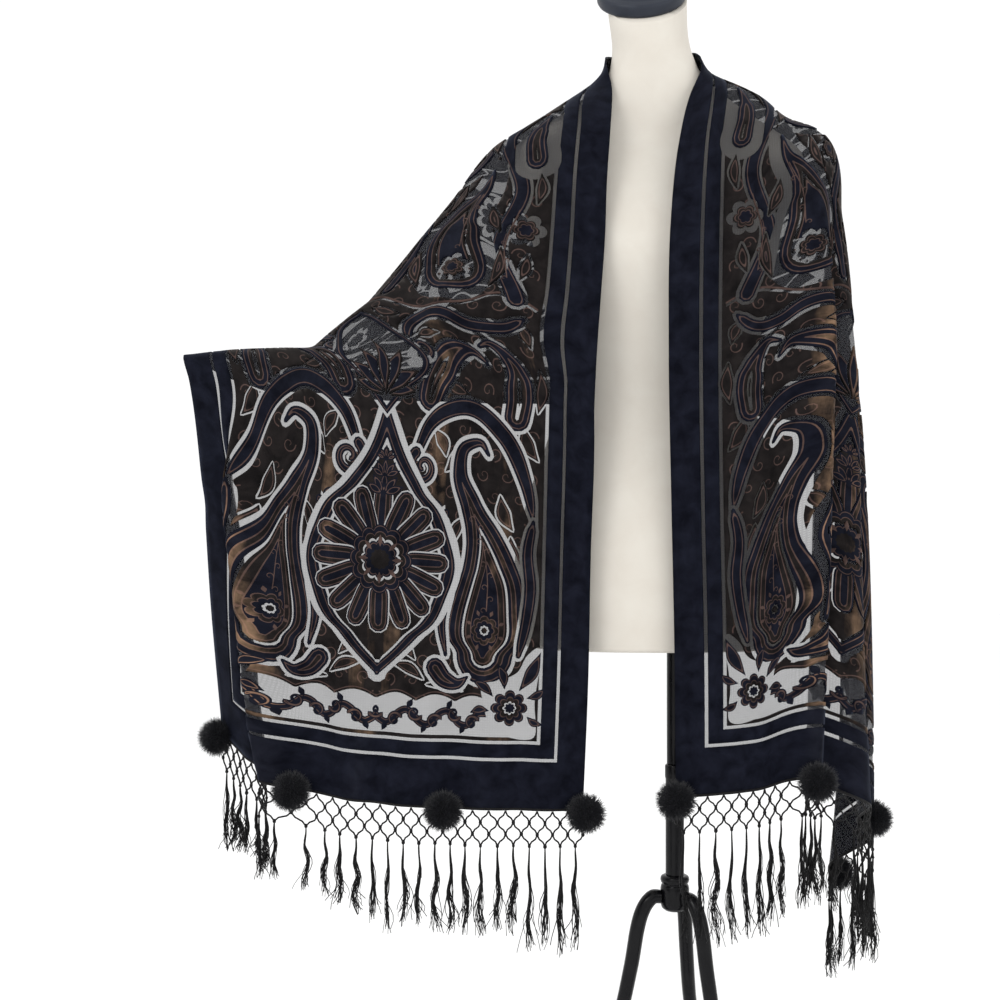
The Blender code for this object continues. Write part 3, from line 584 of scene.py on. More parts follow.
def scroll(centre: Sequence[float], radius: float, turns: float, start: float,
           half: float, count: int = 0) -> Tapered:
    """A band that winds in to a centre.

    Args:
        centre: The middle of the scroll.
        radius: Where it starts.
        turns: How far it winds, negative for the other way.
        start: The angle it starts at, in degrees.
        half: Half its width at the start.
        count: How many points it gets, or 0 for enough of them.

    Returns:
        The scroll as a tapered band.
    """
    count = count or int(20 * abs(turns)) + 10
    share = np.linspace(0.0, 1.0, count)
    angle = math.radians(start) + 2 * math.pi * turns * share
    reach = radius * (1.0 - 0.82 * share)
    route = tuple((centre[0] + r * math.cos(a), centre[1] + r * math.sin(a))
                  for r, a in zip(reach, angle))
    halves = tuple(half * (1.0 - 0.55 * x) for x in share)
    return Tapered(route, halves, count)


# How a motif is built up: how far each layer is drawn in, in millimetres, and what it is.
S, B, M, L = Surface.SHEER, Surface.BORDER, Surface.MOTIF, Surface.LINE
BOLD = ((-4.6, S), (0.0, B), (2.3, L), (3.4, B), (9.2, L), (10.3, M), (14.0, L), (15.1, B),
        (18.0, S), (20.6, M), (22.8, L), (23.9, M), (29.0, L), (30.0, B))
PLUMP = ((-3.8, S), (0.0, B), (2.2, L), (3.3, B), (7.5, L), (8.6, M), (12.0, S), (14.4, M),
         (16.0, L), (17.1, B))
BAND = ((-3.8, S), (0.0, B), (1.9, L), (2.9, B))
PETAL = ((-2.8, S), (0.0, M), (1.6, L), (2.7, M), (5.6, L), (6.6, B))
SMALL = ((-2.2, S), (0.0, M), (1.5, L), (2.5, M))
PLAIN = ((0.0, B), (1.4, L), (2.3, B))
THREAD = ((0.0, L),)


@dataclass
class BurnoutPattern:
    """The flat pattern of one quarter of the stole, mirrored to its whole.

    A quarter runs from the neck edge to the middle of the width, and from a hem to the
    middle of the length. All of its sizes are in millimetres.
    """

    width: float = 1000.0 * CLOTH_WIDTH / 2
    length: float = 1000.0 * CLOTH_LENGTH / 2
    mesh_step: float = 8.0
    # The patterned field starts this far from the neck edge and from the hem.
    field_side: float = 63.0
    field_hem: float = 82.0
    # How far the outlines run on past the lines that they are mirrored at.
    bleed: float = 5.0
    scallop: float = 46.75
    # The distance of two rows of the filigree, as a share of its spacing.
    row_share: float = 0.86
    weld: float = 1e-3
    outlines: list[np.ndarray] = field(default_factory=list)
    kinds: list[Surface] = field(default_factory=list)

    def lay(self, outline: Outline, kind: Surface) -> None:
        """Puts one outline on top of the pattern so far, turned counter-clockwise."""
        if outline is not None and len(outline) > 2:
            outline = self.close_points(outline)
            after = np.roll(outline, -1, axis=0)
            turn = (outline[:, 0] * after[:, 1] - after[:, 0] * outline[:, 1]).sum()
            self.outlines.append(outline if turn > 0 else outline[::-1])
            self.kinds.append(kind)

    def close_points(self, outline: np.ndarray) -> np.ndarray:
        """The outline with points added, so that its long edges can bend with the cloth."""
        after = np.roll(outline, -1, axis=0)
        counts = np.ceil(np.linalg.norm(after - outline, axis=1) / self.mesh_step).astype(int)
        return np.concatenate([a + (b - a) * np.arange(n)[:, None] / n
                               for a, b, n in zip(outline, after, np.maximum(counts, 1))])

    def build_up(self, shape: Shape, layers: Sequence[tuple[float, Surface]]) -> None:
        """Lays a shape in its layers, each drawn in further than the last."""
        for inset, kind in layers:
            self.lay(shape(inset), kind)

    def frame(self) -> None:
        """The velvet border with its two sheer stripes, and the sheer field inside."""
        for side, hem, kind in ((0.0, 0.0, B), (34.0, 54.0, S), (38.0, 58.0, B),
                                (55.0, 74.0, S), (59.0, 78.0, M),
                                (self.field_side, self.field_hem, S)):
            right, top = self.width + self.bleed, self.length + self.bleed
            corners = ((side, hem), (right, hem), (right, top), (side, top))
            self.lay(np.array(corners), kind)

    def curls(self, route: Sequence[Sequence[float]], count: int, radius: float) -> None:
        """A thread-thin vine of small curls along a route."""
        line = smooth_route(route, count + 1)
        self.build_up(Tapered(tuple(map(tuple, route)), (0.55,) * len(route), 18), THREAD)
        for k in range(count):
            ahead = unit(line[k + 1] - line[k])
            turn = 1.0 if k % 2 else -1.0
            side = np.array((-ahead[1], ahead[0])) * turn
            aim = math.degrees(math.atan2(-side[1], -side[0]))
            centre = line[k] + side * radius
            self.build_up(scroll(centre, radius, 0.9 * turn, aim, 0.55), THREAD)

    def filigree(self, spacing: float = 27.0) -> None:
        """Thread-thin curls all over the field, below every other motif."""
        side, hem = self.field_side, self.field_hem
        right, top = self.width + self.bleed, self.length + self.bleed
        self.lay(np.array(((side, hem), (right, hem), (right, top), (side, top))), M)
        for row in range(int((self.length - 96.0) / (spacing * self.row_share)) + 1):
            for column in range(7):
                x = 74.0 + spacing * (column + 0.5 * (row % 2))
                y = 98.0 + spacing * self.row_share * row
                turn = 1.0 if (row + column) % 2 else -1.0
                self.build_up(scroll((x, y), 8.2, 1.15 * turn, 47.0 * (3 * row + 5 * column),
                                     0.75, 13), THREAD)

    def hem_swag(self) -> None:
        """A sheer strip above the hem with a running vine of leaves and curls."""
        side, hem, right = self.field_side, self.field_hem, self.width + self.bleed
        x = np.linspace(side, right, 60)
        y = 121.0 + 8.0 * np.abs(np.sin(np.pi * (x - side) / self.scallop))
        ends = np.array(((right, hem), (side, hem)))
        self.lay(np.concatenate((np.stack((x, y), axis=1), ends)), S)
        for inset, kind in ((0.0, L), (1.1, M)):
            edge = np.stack((x, y + 2.4 + inset), axis=1)
            over = np.stack((x, y + 2.4 + inset + 1.1), axis=1)[::-1]
            self.lay(np.concatenate((edge, over)), kind)
        route = tuple((float(a), 102.0 + 8.5 * math.sin((a - side) / self.scallop * 2 * math.pi))
                      for a in np.arange(118.0, 262.0, 8.0))
        self.build_up(Tapered(route, (4.4,) * len(route), 60), PLAIN)
        for k in range(3):
            crest = 121.4 + self.scallop * k
            self.build_up(scroll((crest + 13, 97.5), 8.6, -1.15, 150.0, 2.7), PLAIN)
            self.build_up(scroll((crest + 36, 107.0), 8.6, 1.15, -150.0, 2.7), PLAIN)
            for aim, place in ((118.0, (crest - 2, 112)), (-64.0, (crest + 22, 95))):
                self.build_up(leaf(place, aim, 12.0, 3.4), PLAIN[:1])

    def medallion(self) -> None:
        """The pointed medallion on the middle line, a flower in its heart."""
        body = Tapered(((250, 150), (250, 190), (250, 235), (250, 280), (250, 325), (250, 365),
                        (250, 402), (250, 436)), (3.0, 44.0, 76.0, 88.0, 76.0, 46.0, 19.0, 2.0),
                       60)
        self.build_up(body, ((-8.0, S), (0.0, B), (2.4, L), (3.5, B), (10.5, L), (11.6, B),
                             (14.5, S), (18.0, M)))
        centre = np.array((250.0, 276.0))
        for k in range(9):
            aim = -90.0 + 22.5 * k
            back = math.radians(aim + 180)
            ahead = np.array((math.cos(back), math.sin(back)))
            petal = Tapered(tuple(map(tuple, (centre + ahead * r for r in (30, 44, 58, 70)))),
                            (7.0, 10.5, 10.5, 1.0), 18)
            self.build_up(petal, ((-1.6, S), (0.0, B), (1.5, L), (2.5, M), (6.0, L), (7.0, B)))
        self.build_up(Rosette((250, 276), 38.0, 12, 0.14), (
            (0.0, B), (1.8, L), (2.8, B), (8.0, L), (9.0, M), (14.0, S), (17.0, B), (19.0, L),
            (20.0, B), (27.0, M)))
        for k in range(8):
            aim = math.radians(45.0 * k)
            root = centre + 14.0 * np.array((math.cos(aim), math.sin(aim)))
            self.build_up(leaf(root, math.degrees(aim), 12.0, 2.4), THREAD)
        for height, size in ((346, 24.0), (364, 19.0), (381, 14.0)):
            for aim in (90.0, 128.0, 158.0):
                self.build_up(leaf((250, height), aim, size, size * 0.20), PLAIN)

    def finial(self) -> None:
        """The fan of leaves that stands on the medallion, in a sheer window."""
        window = Tapered(((250, 424), (250, 452), (250, 490), (250, 528), (250, 556)),
                         (2.0, 32.0, 56.0, 40.0, 2.0), 36)
        self.build_up(window, ((0.0, S), (4.6, B), (6.6, L), (7.7, B), (12.0, S)))
        for aim, length, half in ((164.0, 38.0, 7.0), (140.0, 50.0, 8.5), (114.0, 56.0, 9.0),
                                  (90.0, 64.0, 9.5)):
            self.build_up(leaf((250, 446), aim, length, half, -3.0), (
                (-2.0, S), (0.0, M), (1.5, L), (2.5, B)))

    def paisleys(self) -> None:
        """The large hooked paisley beside the medallion, and the small ones round it."""
        self.build_up(Tapered(
            ((124, 176), (123, 214), (120, 256), (127, 302), (144, 342), (158, 376), (152, 404),
             (132, 410), (122, 398)), (33.0, 46.0, 41.0, 31.0, 21.0, 13.0, 9.0, 6.5, 2.0), 76),
            BOLD)
        self.build_up(Rosette((123, 204), 17.0, 8, 0.2), (
            (0.0, L), (1.1, M), (5.0, L), (6.0, B), (11.0, S), (13.5, M)))
        for k in range(8):
            aim = math.radians(45.0 * k + 22.5)
            root = (123 + 17.5 * math.cos(aim), 204 + 17.5 * math.sin(aim))
            self.build_up(leaf(root, math.degrees(aim), 6.5, 2.0), THREAD)
        self.curls(((121, 226), (121, 262), (129, 304), (145, 340)), 9, 4.2)
        for route, halves in (
            (((196, 452), (187, 476), (166, 498), (140, 506), (128, 494)), (15, 17, 12, 7, 2)),
            (((92, 442), (90, 468), (98, 498), (116, 516), (130, 512)), (14, 15, 11, 6, 2)),
            (((182, 160), (170, 146), (154, 142), (142, 150)), (11, 10, 7, 1.5)),
        ):
            self.build_up(Tapered(route, halves, 34), PLUMP)

    def scrolls(self) -> None:
        """The heavy velvet scrolls that sweep past the medallion and the paisley."""
        sweep = ((70, 330), (80, 372), (104, 420), (150, 448), (196, 424), (214, 392))
        self.build_up(Tapered(sweep, (2.0, 7.5, 9.0, 9.5, 8.0, 5.0), 52), BAND)
        self.build_up(scroll((204, 378), 18.0, -1.3, 55.0, 6.2), BAND)
        self.build_up(Tapered(((84, 176), (76, 214), (72, 252), (76, 296), (70, 330)),
                              (3.0, 6.5, 7.0, 6.5, 2.0), 34), BAND)
        self.build_up(Tapered(((170, 174), (176, 210), (170, 250), (166, 290), (176, 324)),
                              (2.0, 5.0, 6.0, 5.0, 2.0), 34), BAND)
        self.build_up(scroll((186, 336), 12.0, 1.2, 200.0, 4.4), BAND)
        self.build_up(Tapered(((76, 552), (92, 538), (128, 536), (160, 546), (190, 536),
                               (208, 512)), (2.0, 6.5, 7.0, 7.0, 6.0, 3.0), 44), BAND)
        self.build_up(scroll((198, 504), 12.5, -1.25, 40.0, 4.6), BAND)

    def corner(self) -> None:
        """The corner flower in its sheer window, with leaves."""
        window = ((63, 121), (63, 186), (74, 176), (84, 158), (104, 148), (124, 142), (122, 124),
                  (108, 90), (63, 82))
        self.lay(smooth_route(window + (window[0],), 60)[:-1], S)
        self.build_up(Rosette((92, 116), 21.0, 8), (
            (0.0, B), (1.7, L), (2.7, B), (7.5, L), (8.5, M), (13.0, S), (15.2, B)))
        for aim, length, half in ((118.0, 50.0, 7.5), (74.0, 30.0, 5.5), (36.0, 30.0, 5.5),
                                  (150.0, 24.0, 5.0), (-8.0, 22.0, 5.0), (206.0, 20.0, 4.6)):
            angle = math.radians(aim)
            root = (92 + 23 * math.cos(angle), 116 + 23 * math.sin(angle))
            self.build_up(leaf(root, aim, length, half, 2.5), PLAIN)

    def leaves(self) -> None:
        """The single leaves that fill the gaps of the end panel."""
        for root, aim, length, half, bend in (
            ((84, 268), 74, 44, 8.0, -4.0), ((94, 318), 70, 40, 7.5, -4.0),
            ((176, 392), 64, 30, 6.5, 3.0), ((66, 398), 62, 42, 8.0, -4.0),
            ((68, 452), 92, 46, 7.5, 3.0), ((158, 236), 84, 30, 5.0, 2.0),
            ((164, 300), 110, 30, 5.5, -3.0), ((232, 446), 128, 34, 6.5, 3.0),
            ((150, 462), 20, 30, 6.0, -2.0), ((70, 520), 66, 28, 6.0, 2.0),
            ((166, 520), -4, 26, 5.0, 2.0), ((204, 546), 20, 34, 5.5, -2.0),
            ((196, 146), 24, 40, 6.0, 4.0), ((206, 168), 40, 30, 5.0, 2.0),
            ((148, 134), 8, 44, 4.6, 3.0), ((176, 376), 116, 30, 6.0, 4.0),
        ):
            self.build_up(leaf(root, aim, length, half, bend), SMALL)

    def end_panel(self) -> None:
        """Everything between the hem and the middle of the cloth's length."""
        self.filigree()
        self.hem_swag()
        self.leaves()
        self.paisleys()
        self.scrolls()
        self.medallion()
        self.finial()
        self.corner()

    def middle(self) -> None:
        """The close paisleys, bands and leaves between the two end panels."""
        wave = [(x, 566.0 + 12.0 * math.sin((x - self.field_side) / 24.0))
                for x in range(int(self.field_side), 257, 6)]
        self.lay(np.array([(x, y - 3.4) for x, y in wave] + wave[::-1]), S)
        self.lay(np.array(wave + [(x, y + 2.2) for x, y in wave[::-1]]), L)

        self.build_up(Tapered(((86, 574), (112, 640), (92, 716), (120, 796), (96, 876),
                               (122, 956), (104, 1040)), (8.5,) * 7, 64), BAND)
        self.build_up(Tapered(((232, 590), (206, 668), (234, 752), (210, 838), (236, 924),
                               (214, 1040)), (6.5,) * 6, 60), BAND)
        for route, halves in (
            (((158, 612), (164, 650), (154, 694), (134, 728), (130, 752)),
             (33, 30, 19, 8, 1.5)),
            (((170, 792), (174, 826), (166, 866), (150, 896), (148, 918)),
             (32, 28, 17, 8, 1.5)),
            (((162, 968), (168, 998), (166, 1024), (158, 1046)), (31, 28, 18, 9)),
            (((80, 760), (84, 786), (78, 812), (70, 832)), (13, 12, 7, 1.5)),
            (((78, 934), (82, 956), (78, 982), (70, 1004)), (12, 11, 7, 1.5)),
        ):
            self.build_up(Tapered(route, halves, 36), ((-15.0, S),) + PLUMP)
        for centre, radius, lobes in (
            ((250, 650), 17.0, 8), ((250, 838), 22.0, 10), ((250, 1035), 24.0, 12),
            ((158, 611), 13.0, 7), ((170, 790), 12.5, 7), ((162, 966), 12.0, 7),
            ((84, 664), 14.0, 6), ((196, 730), 12.0, 6), ((192, 908), 12.0, 6),
        ):
            self.build_up(Rosette(centre, radius, lobes), ((-8.0, S),) + PETAL)
            self.build_up(Rosette(centre, radius * 0.42, 5), ((0.0, B),))
        for root, aim, length, half, bend in (
            ((118, 588), 100, 54, 7.5, 5.0), ((196, 588), 84, 56, 8.0, -5.0),
            ((126, 700), 250, 40, 6.5, 3.0), ((182, 704), 112, 44, 7.0, 4.0),
            ((206, 716), 62, 34, 6.0, 3.0), ((132, 778), 84, 44, 7.0, -4.0),
            ((200, 770), 96, 48, 7.0, 4.0), ((74, 700), 92, 40, 6.0, 3.0),
            ((80, 852), 90, 54, 7.5, 4.0), ((136, 872), 268, 40, 6.0, 3.0),
            ((196, 880), 108, 40, 6.5, 3.0), ((128, 930), 84, 44, 6.5, -4.0),
            ((196, 946), 98, 52, 7.0, 4.0), ((222, 780), 90, 34, 5.5, 2.0),
            ((226, 980), 92, 40, 6.0, 2.0), ((86, 600), 100, 34, 5.5, 2.0),
        ):
            self.build_up(leaf(root, aim, length, half, bend), PETAL)
        self.curls(((152, 640), (150, 680), (136, 716)), 4, 3.6)
        self.curls(((168, 820), (160, 860), (150, 890)), 4, 3.4)
        self.curls(((98, 600), (104, 640), (92, 690)), 4, 3.0)

    def cut(self) -> tuple[np.ndarray, np.ndarray, list[Surface]]:
        """Cuts the quarter into triangles along every outline, and mirrors it.

        Returns:
            The points in metres (along, across), the triangles, and what each one is.
        """
        across = np.linspace(0.0, self.width, round(self.width / self.mesh_step) + 1)
        along = np.linspace(0.0, self.length, round(self.length / self.mesh_step) + 1)
        grid = [Vector((x, y)) for x in across for y in along]
        places, faces = [], []
        for outline in self.outlines:
            faces.append(list(range(len(places), len(places) + len(outline))))
            places.extend(Vector((float(x), float(y))) for x, y in outline)
        right, top = self.width, self.length
        rim = len(places)
        places.extend(Vector(c) for c in ((0, 0), (right, 0), (right, top), (0, top)))
        edges = [(rim, rim + 1), (rim + 1, rim + 2), (rim + 2, rim + 3), (rim + 3, rim)]
        found = delaunay_2d_cdt(places + grid, edges, faces, 0, self.weld, True)
        flat = np.array([tuple(p) for p in found[0]])
        triangles, kinds = [], []
        for corners, origins in zip(found[2], found[5]):
            middle = flat[list(corners)].mean(axis=0)
            if middle[0] > right or middle[1] > top or min(middle) < 0 or not origins:
                continue
            kind = self.kinds[max(origins)]
            if kind is not Surface.SHEER:
                triangles.append(corners[:3])
                kinds.append(kind)
        LOG.info("the quarter has %d outlines and %d triangles", len(self.outlines),
                 len(triangles))
        return self.mirrored(flat, np.array(triangles), kinds)

    def mirrored(self, flat: np.ndarray, triangles: np.ndarray,
                 kinds: list[Surface]) -> tuple[np.ndarray, np.ndarray, list[Surface]]:
        """The whole stole's pattern from its first quarter, joined at the mirror lines."""
        whole, joined = [], []
        for turn_over in (False, True):
            for other_end in (False, True):
                copy = flat.copy()
                if turn_over:
                    copy[:, 0] = 2 * self.width - copy[:, 0]
                if other_end:
                    copy[:, 1] = 2 * self.length - copy[:, 1]
                joined.append(triangles + len(flat) * len(whole))
                whole.append(copy)
        places = np.concatenate(whole)[:, ::-1] / 1000.0
        corners = np.concatenate(joined)
        keys = np.round(places * 1e6).astype(np.int64)
        _, first, inverse = np.unique(keys, axis=0, return_index=True, return_inverse=True)
        places, corners = places[first], np.ravel(inverse)[corners]
        one, two, three = (places[corners[:, k]] for k in range(3))
        area = ((two - one)[:, 0] * (three - one)[:, 1] - (two - one)[:, 1] * (three - one)[:, 0])
        corners[area < 0] = corners[area < 0][:, ::-1]
        solid = np.abs(area) > 1e-12
        return places, corners[solid], [k for k, s in zip(kinds * 4, solid) if s]


class Nodes:
    """Builds a node tree from short calls."""

    def __init__(self, tree: bpy.types.NodeTree) -> None:
        """Keeps the tree that the nodes go in."""
        self.tree = tree

    def add(self, kind: str, values: Optional[dict] = None, **settings) -> bpy.types.Node:
        """A new node.

        Args:
            kind: The node's type name.
            values: What goes in its inputs: a socket is linked, and a number is set.
            **settings: Its properties.

        Returns:
            The node.
        """
        node = self.tree.nodes.new(kind)
        for name, value in settings.items():
            setattr(node, name, value)
        for name, value in (values or {}).items():
            self.feed(node.inputs[name], value)
        return node

    def feed(self, socket: bpy.types.NodeSocket, value: Fed) -> None:
        """Links a socket to the input, or sets the input to a value."""
        if isinstance(value, bpy.types.NodeSocket):
            self.tree.links.new(value, socket)
        elif isinstance(value, tuple) and len(value) == 3 and socket.type == "RGBA":
            socket.default_value = (*value, 1.0)
        else:
            socket.default_value = value

    def math(self, operation: str, first: Fed, second: Fed = 0.0) -> bpy.types.NodeSocket:
        """The result of one sum."""
        return self.add("ShaderNodeMath", {0: first, 1: second}, operation=operation).outputs[0]

    def mix(self, share: Fed, first: Fed, second: Fed) -> bpy.types.NodeSocket:
        """A colour between two."""
        node = self.add("ShaderNodeMix", data_type="RGBA")
        self.feed(node.inputs["Factor"], share)
        self.feed(node.inputs["A"], first)
        self.feed(node.inputs["B"], second)
        return node.outputs["Result"]

    def nap(self, group: bpy.types.NodeTree, place: bpy.types.NodeSocket, patch: float,
            hair: float) -> bpy.types.Node:
        """A nap group.

        Args:
            group: The group's tree.
            place: The coordinates it is read at.
            patch: How many patches there are to a metre, roughly.
            hair: How many hairs there are to a metre, roughly.

        Returns:
            The node, with its outputs Patches and Height.
        """
        node = self.add("ShaderNodeGroup", node_tree=group)
        for name, value in (("Vector", place), ("Patch", patch), ("Hair", hair)):
            self.feed(node.inputs[name], value)
        return node

    def bump(self, shader: bpy.types.Node, height: bpy.types.NodeSocket, strength: float,
             distance: float) -> None:
        """Raises a shader's surface by a height."""
        node = self.add("ShaderNodeBump", {"Height": height, "Strength": strength,
                                           "Distance": distance})
        self.feed(shader.inputs["Normal"], node.outputs[0])


def new_material(name: str) -> tuple[bpy.types.Material, Nodes, bpy.types.Node]:
    """A material, its nodes, and the shader in it."""
    made = bpy.data.materials.new(name)
    made.use_nodes = True
    return made, Nodes(made.node_tree), made.node_tree.nodes["Principled BSDF"]


def shader_group(name: str, inputs: dict[str, float], outputs: Sequence[str]
                 ) -> bpy.types.NodeTree:
    """An empty shader node group with number inputs and outputs, and its two end nodes."""
    tree = bpy.data.node_groups.new(name, "ShaderNodeTree")
    tree.interface.new_socket("Vector", in_out="INPUT", socket_type="NodeSocketVector")
    for label, value in inputs.items():
        socket = tree.interface.new_socket(label, in_out="INPUT", socket_type="NodeSocketFloat")
        socket.default_value = value
    for label in outputs:
        tree.interface.new_socket(label, in_out="OUTPUT", socket_type="NodeSocketFloat")
    return tree


def nap_group() -> bpy.types.NodeTree:
    """The nap of a pile: soft patches where it lies another way, and single hairs."""
    tree = shader_group("nap", {"Patch": 40.0, "Hair": 1400.0}, ("Patches", "Height"))
    nodes = Nodes(tree)
    given = nodes.add("NodeGroupInput").outputs
    patches = nodes.add("ShaderNodeTexNoise", {"Vector": given["Vector"],
                                               "Scale": given["Patch"], "Detail": 4.0,
                                               "Roughness": 0.6, "Distortion": 0.4})
    hairs = nodes.add("ShaderNodeTexNoise", {"Vector": given["Vector"],
                                             "Scale": given["Hair"], "Detail": 1.0})
    spread = nodes.add("ShaderNodeMapRange", {"Value": patches.outputs[0], "From Min": 0.32,
                                              "From Max": 0.68})
    height = nodes.math("ADD", hairs.outputs[0], nodes.math("MULTIPLY", patches.outputs[0], 1.5))
    result = nodes.add("NodeGroupOutput")
    nodes.feed(result.inputs["Patches"], spread.outputs[0])
    nodes.feed(result.inputs["Height"], height)
    return tree


@dataclass(frozen=True)
class VelvetFinish:
    """Cut pile: its colours where it leans away and towards the light, the painted highlight on
    its fold crests, and its sheen.
    """

    name: str
    deep: Colour
    light: Colour
    crest_highlight: Colour
    highlight_share: float
    sheen: float
    sheen_tint: Colour
    sheen_roughness: float = 0.35
    roughness: float = 0.8
    bump: float = 0.25
    patch: float = 46.0
    hair: float = 1500.0
    # The streaks of painted highlight on the fold crests, and the crest that they start and are
    # full at.
    streak: tuple[float, float, float] = (4.2, 0.8, 1.0)
    streak_scale: float = 11.0
    streak_from: float = 0.50
    streak_to: float = 0.88
    streak_gain: float = 1.3

    def material(self, nap: bpy.types.NodeTree) -> bpy.types.Material:
        """The finish as a material."""
        made, nodes, shader = new_material(self.name)
        flat = nodes.add("ShaderNodeUVMap", uv_map="flat").outputs[0]
        pile = nodes.nap(nap, flat, self.patch, self.hair)
        crest = nodes.add("ShaderNodeAttribute", attribute_name="crest").outputs["Fac"]
        drawn = nodes.add("ShaderNodeMapping", {"Vector": flat})
        drawn.inputs["Scale"].default_value = self.streak
        broad = nodes.add("ShaderNodeTexNoise", {"Vector": drawn.outputs[0],
                                                 "Scale": self.streak_scale, "Detail": 5.0,
                                                 "Roughness": 0.62})
        # Painted highlight: a copper-toned colour is mixed into the base colour on the fold
        # crests, in streaks that the nap's patches break up.
        lit = nodes.math("MULTIPLY", crest, broad.outputs[0])
        lit = nodes.add("ShaderNodeMapRange", {"Value": lit, "From Min": self.streak_from,
                                               "From Max": self.streak_to,
                                               "To Max": self.highlight_share}).outputs[0]
        patches = nodes.math("MULTIPLY", self.streak_gain, pile.outputs["Patches"])
        lit = nodes.math("MULTIPLY", lit, patches)
        colour = nodes.mix(pile.outputs["Patches"], self.deep, self.light)
        nodes.feed(shader.inputs["Base Color"], nodes.mix(lit, colour, self.crest_highlight))
        shader.inputs["Roughness"].default_value = self.roughness
        shader.inputs["Specular IOR Level"].default_value = 0.05
        shader.inputs["Sheen Weight"].default_value = self.sheen
        shader.inputs["Sheen Tint"].default_value = (*self.sheen_tint, 1.0)
        shader.inputs["Sheen Roughness"].default_value = self.sheen_roughness
        nodes.bump(shader, pile.outputs["Height"], self.bump, 0.0006)
        return made


@dataclass(frozen=True)
class SheerFinish:
    """The bare ground: fine crossed threads that the light passes between."""

    colour: Colour
    cover: float
    bands: float = 110.0
    weave_cover: float = 0.06
    cloud_cover: float = 0.10
    shade: float = 0.8

    def material(self) -> bpy.types.Material:
        """The finish as a material."""
        made, nodes, shader = new_material("sheer_ground")
        flat = nodes.add("ShaderNodeUVMap", uv_map="flat").outputs[0]
        warp, weft = (nodes.add("ShaderNodeTexWave", {"Vector": flat, "Scale": self.bands,
                                                      "Distortion": 0.6, "Detail": 1.0},
                                bands_direction=way) for way in ("X", "Y"))
        weave = nodes.math("MAXIMUM", warp.outputs["Fac"], weft.outputs["Fac"])
        cloud = nodes.add("ShaderNodeTexNoise", {"Vector": flat, "Scale": 14.0, "Detail": 3.0})
        cover = nodes.math("ADD", nodes.math("MULTIPLY", weave, self.weave_cover),
                           nodes.math("MULTIPLY", cloud.outputs[0], self.cloud_cover))
        nodes.feed(shader.inputs["Alpha"], nodes.math("ADD", cover, self.cover))
        nodes.feed(shader.inputs["Base Color"],
                   nodes.mix(weave, tuple(c * self.shade for c in self.colour), self.colour))
        shader.inputs["Roughness"].default_value = 0.55
        shader.inputs["Specular IOR Level"].default_value = 0.10
        return made


@dataclass(frozen=True)
class StrandFinish:
    """Thread or fur: dark, with a little sheen and paler places here and there."""

    name: str
    deep: Colour
    light: Colour
    roughness: float
    sheen: float
    patch: float = 320.0
    hair: float = 2600.0
    bump: float = 0.3

    def material(self, nap: bpy.types.NodeTree) -> bpy.types.Material:
        """The finish as a material."""
        made, nodes, shader = new_material(self.name)
        place = nodes.add("ShaderNodeTexCoord").outputs["Object"]
        pile = nodes.nap(nap, place, self.patch, self.hair)
        nodes.feed(shader.inputs["Base Color"],
                   nodes.mix(pile.outputs["Patches"], self.deep, self.light))
        shader.inputs["Roughness"].default_value = self.roughness
        shader.inputs["Specular IOR Level"].default_value = 0.12
        shader.inputs["Sheen Weight"].default_value = self.sheen
        nodes.bump(shader, pile.outputs["Height"], self.bump, 0.0003)
        return made


@dataclass(frozen=True)
class HardFinish:
    """Moulded shell, paint or rubber, with a faintly uneven colour and gloss."""

    name: str
    colour: Colour
    worn: Colour
    roughness: float
    coat: float
    scale: float
    bump: float
    shine: float = 0.5
    grain: float = 22.0
    dulled: float = 0.12

    def material(self, nap: bpy.types.NodeTree) -> bpy.types.Material:
        """The finish as a material."""
        made, nodes, shader = new_material(self.name)
        shader.inputs["Specular IOR Level"].default_value = self.shine
        place = nodes.add("ShaderNodeTexCoord").outputs["Object"]
        pile = nodes.nap(nap, place, self.scale, self.scale * self.grain)
        nodes.feed(shader.inputs["Base Color"],
                   nodes.mix(pile.outputs["Patches"], self.colour, self.worn))
        rough = nodes.add("ShaderNodeMapRange", {"Value": pile.outputs["Patches"],
                                                 "To Min": self.roughness,
                                                 "To Max": self.roughness + self.dulled})
        nodes.feed(shader.inputs["Roughness"], rough.outputs[0])
        shader.inputs["Coat Weight"].default_value = self.coat
        shader.inputs["Coat Roughness"].default_value = 0.12
        nodes.bump(shader, pile.outputs["Height"], self.bump, 0.0004)
        return made


# The third colour of each velvet is its painted highlight on the fold crests, and the number
# after it is the most of it that is mixed in.
BORDER_VELVET = VelvetFinish("border_velvet", (0.0020, 0.0024, 0.0054), (0.0082, 0.0094, 0.0170),
                             (0.015, 0.016, 0.022), 0.30, 0.085, (0.45, 0.55, 0.85))
MOTIF_VELVET = VelvetFinish("motif_velvet", (0.0046, 0.0039, 0.0041), (0.0150, 0.0124, 0.0121),
                            (0.240, 0.150, 0.092), 0.74, 0.10, (0.85, 0.74, 0.68))
LINE_VELVET = VelvetFinish("line_velvet", (0.036, 0.023, 0.021), (0.092, 0.058, 0.050),
                           (0.330, 0.190, 0.120), 0.60, 0.14, (0.90, 0.75, 0.70))
GROUND_SHEER = SheerFinish((0.040, 0.041, 0.047), 0.285)
THREAD_FINISH = StrandFinish("fringe_thread", (0.0025, 0.0025, 0.0030),
                             (0.0100, 0.0095, 0.0100), 0.60, 0.06)
FUR_FINISH = StrandFinish("pompom_fur", (0.0020, 0.0021, 0.0030), (0.0125, 0.0130, 0.0175), 0.66,
                          0.12)
FORM_FINISH = HardFinish("form_shell", (0.668, 0.632, 0.566), (0.640, 0.598, 0.532), 0.62, 0.0,
                         26.0, 0.05, 0.30)
CAP_FINISH = HardFinish("cap_paint", (0.016, 0.020, 0.031), (0.022, 0.027, 0.040), 0.42, 0.0,
                        60.0, 0.10, 0.30)
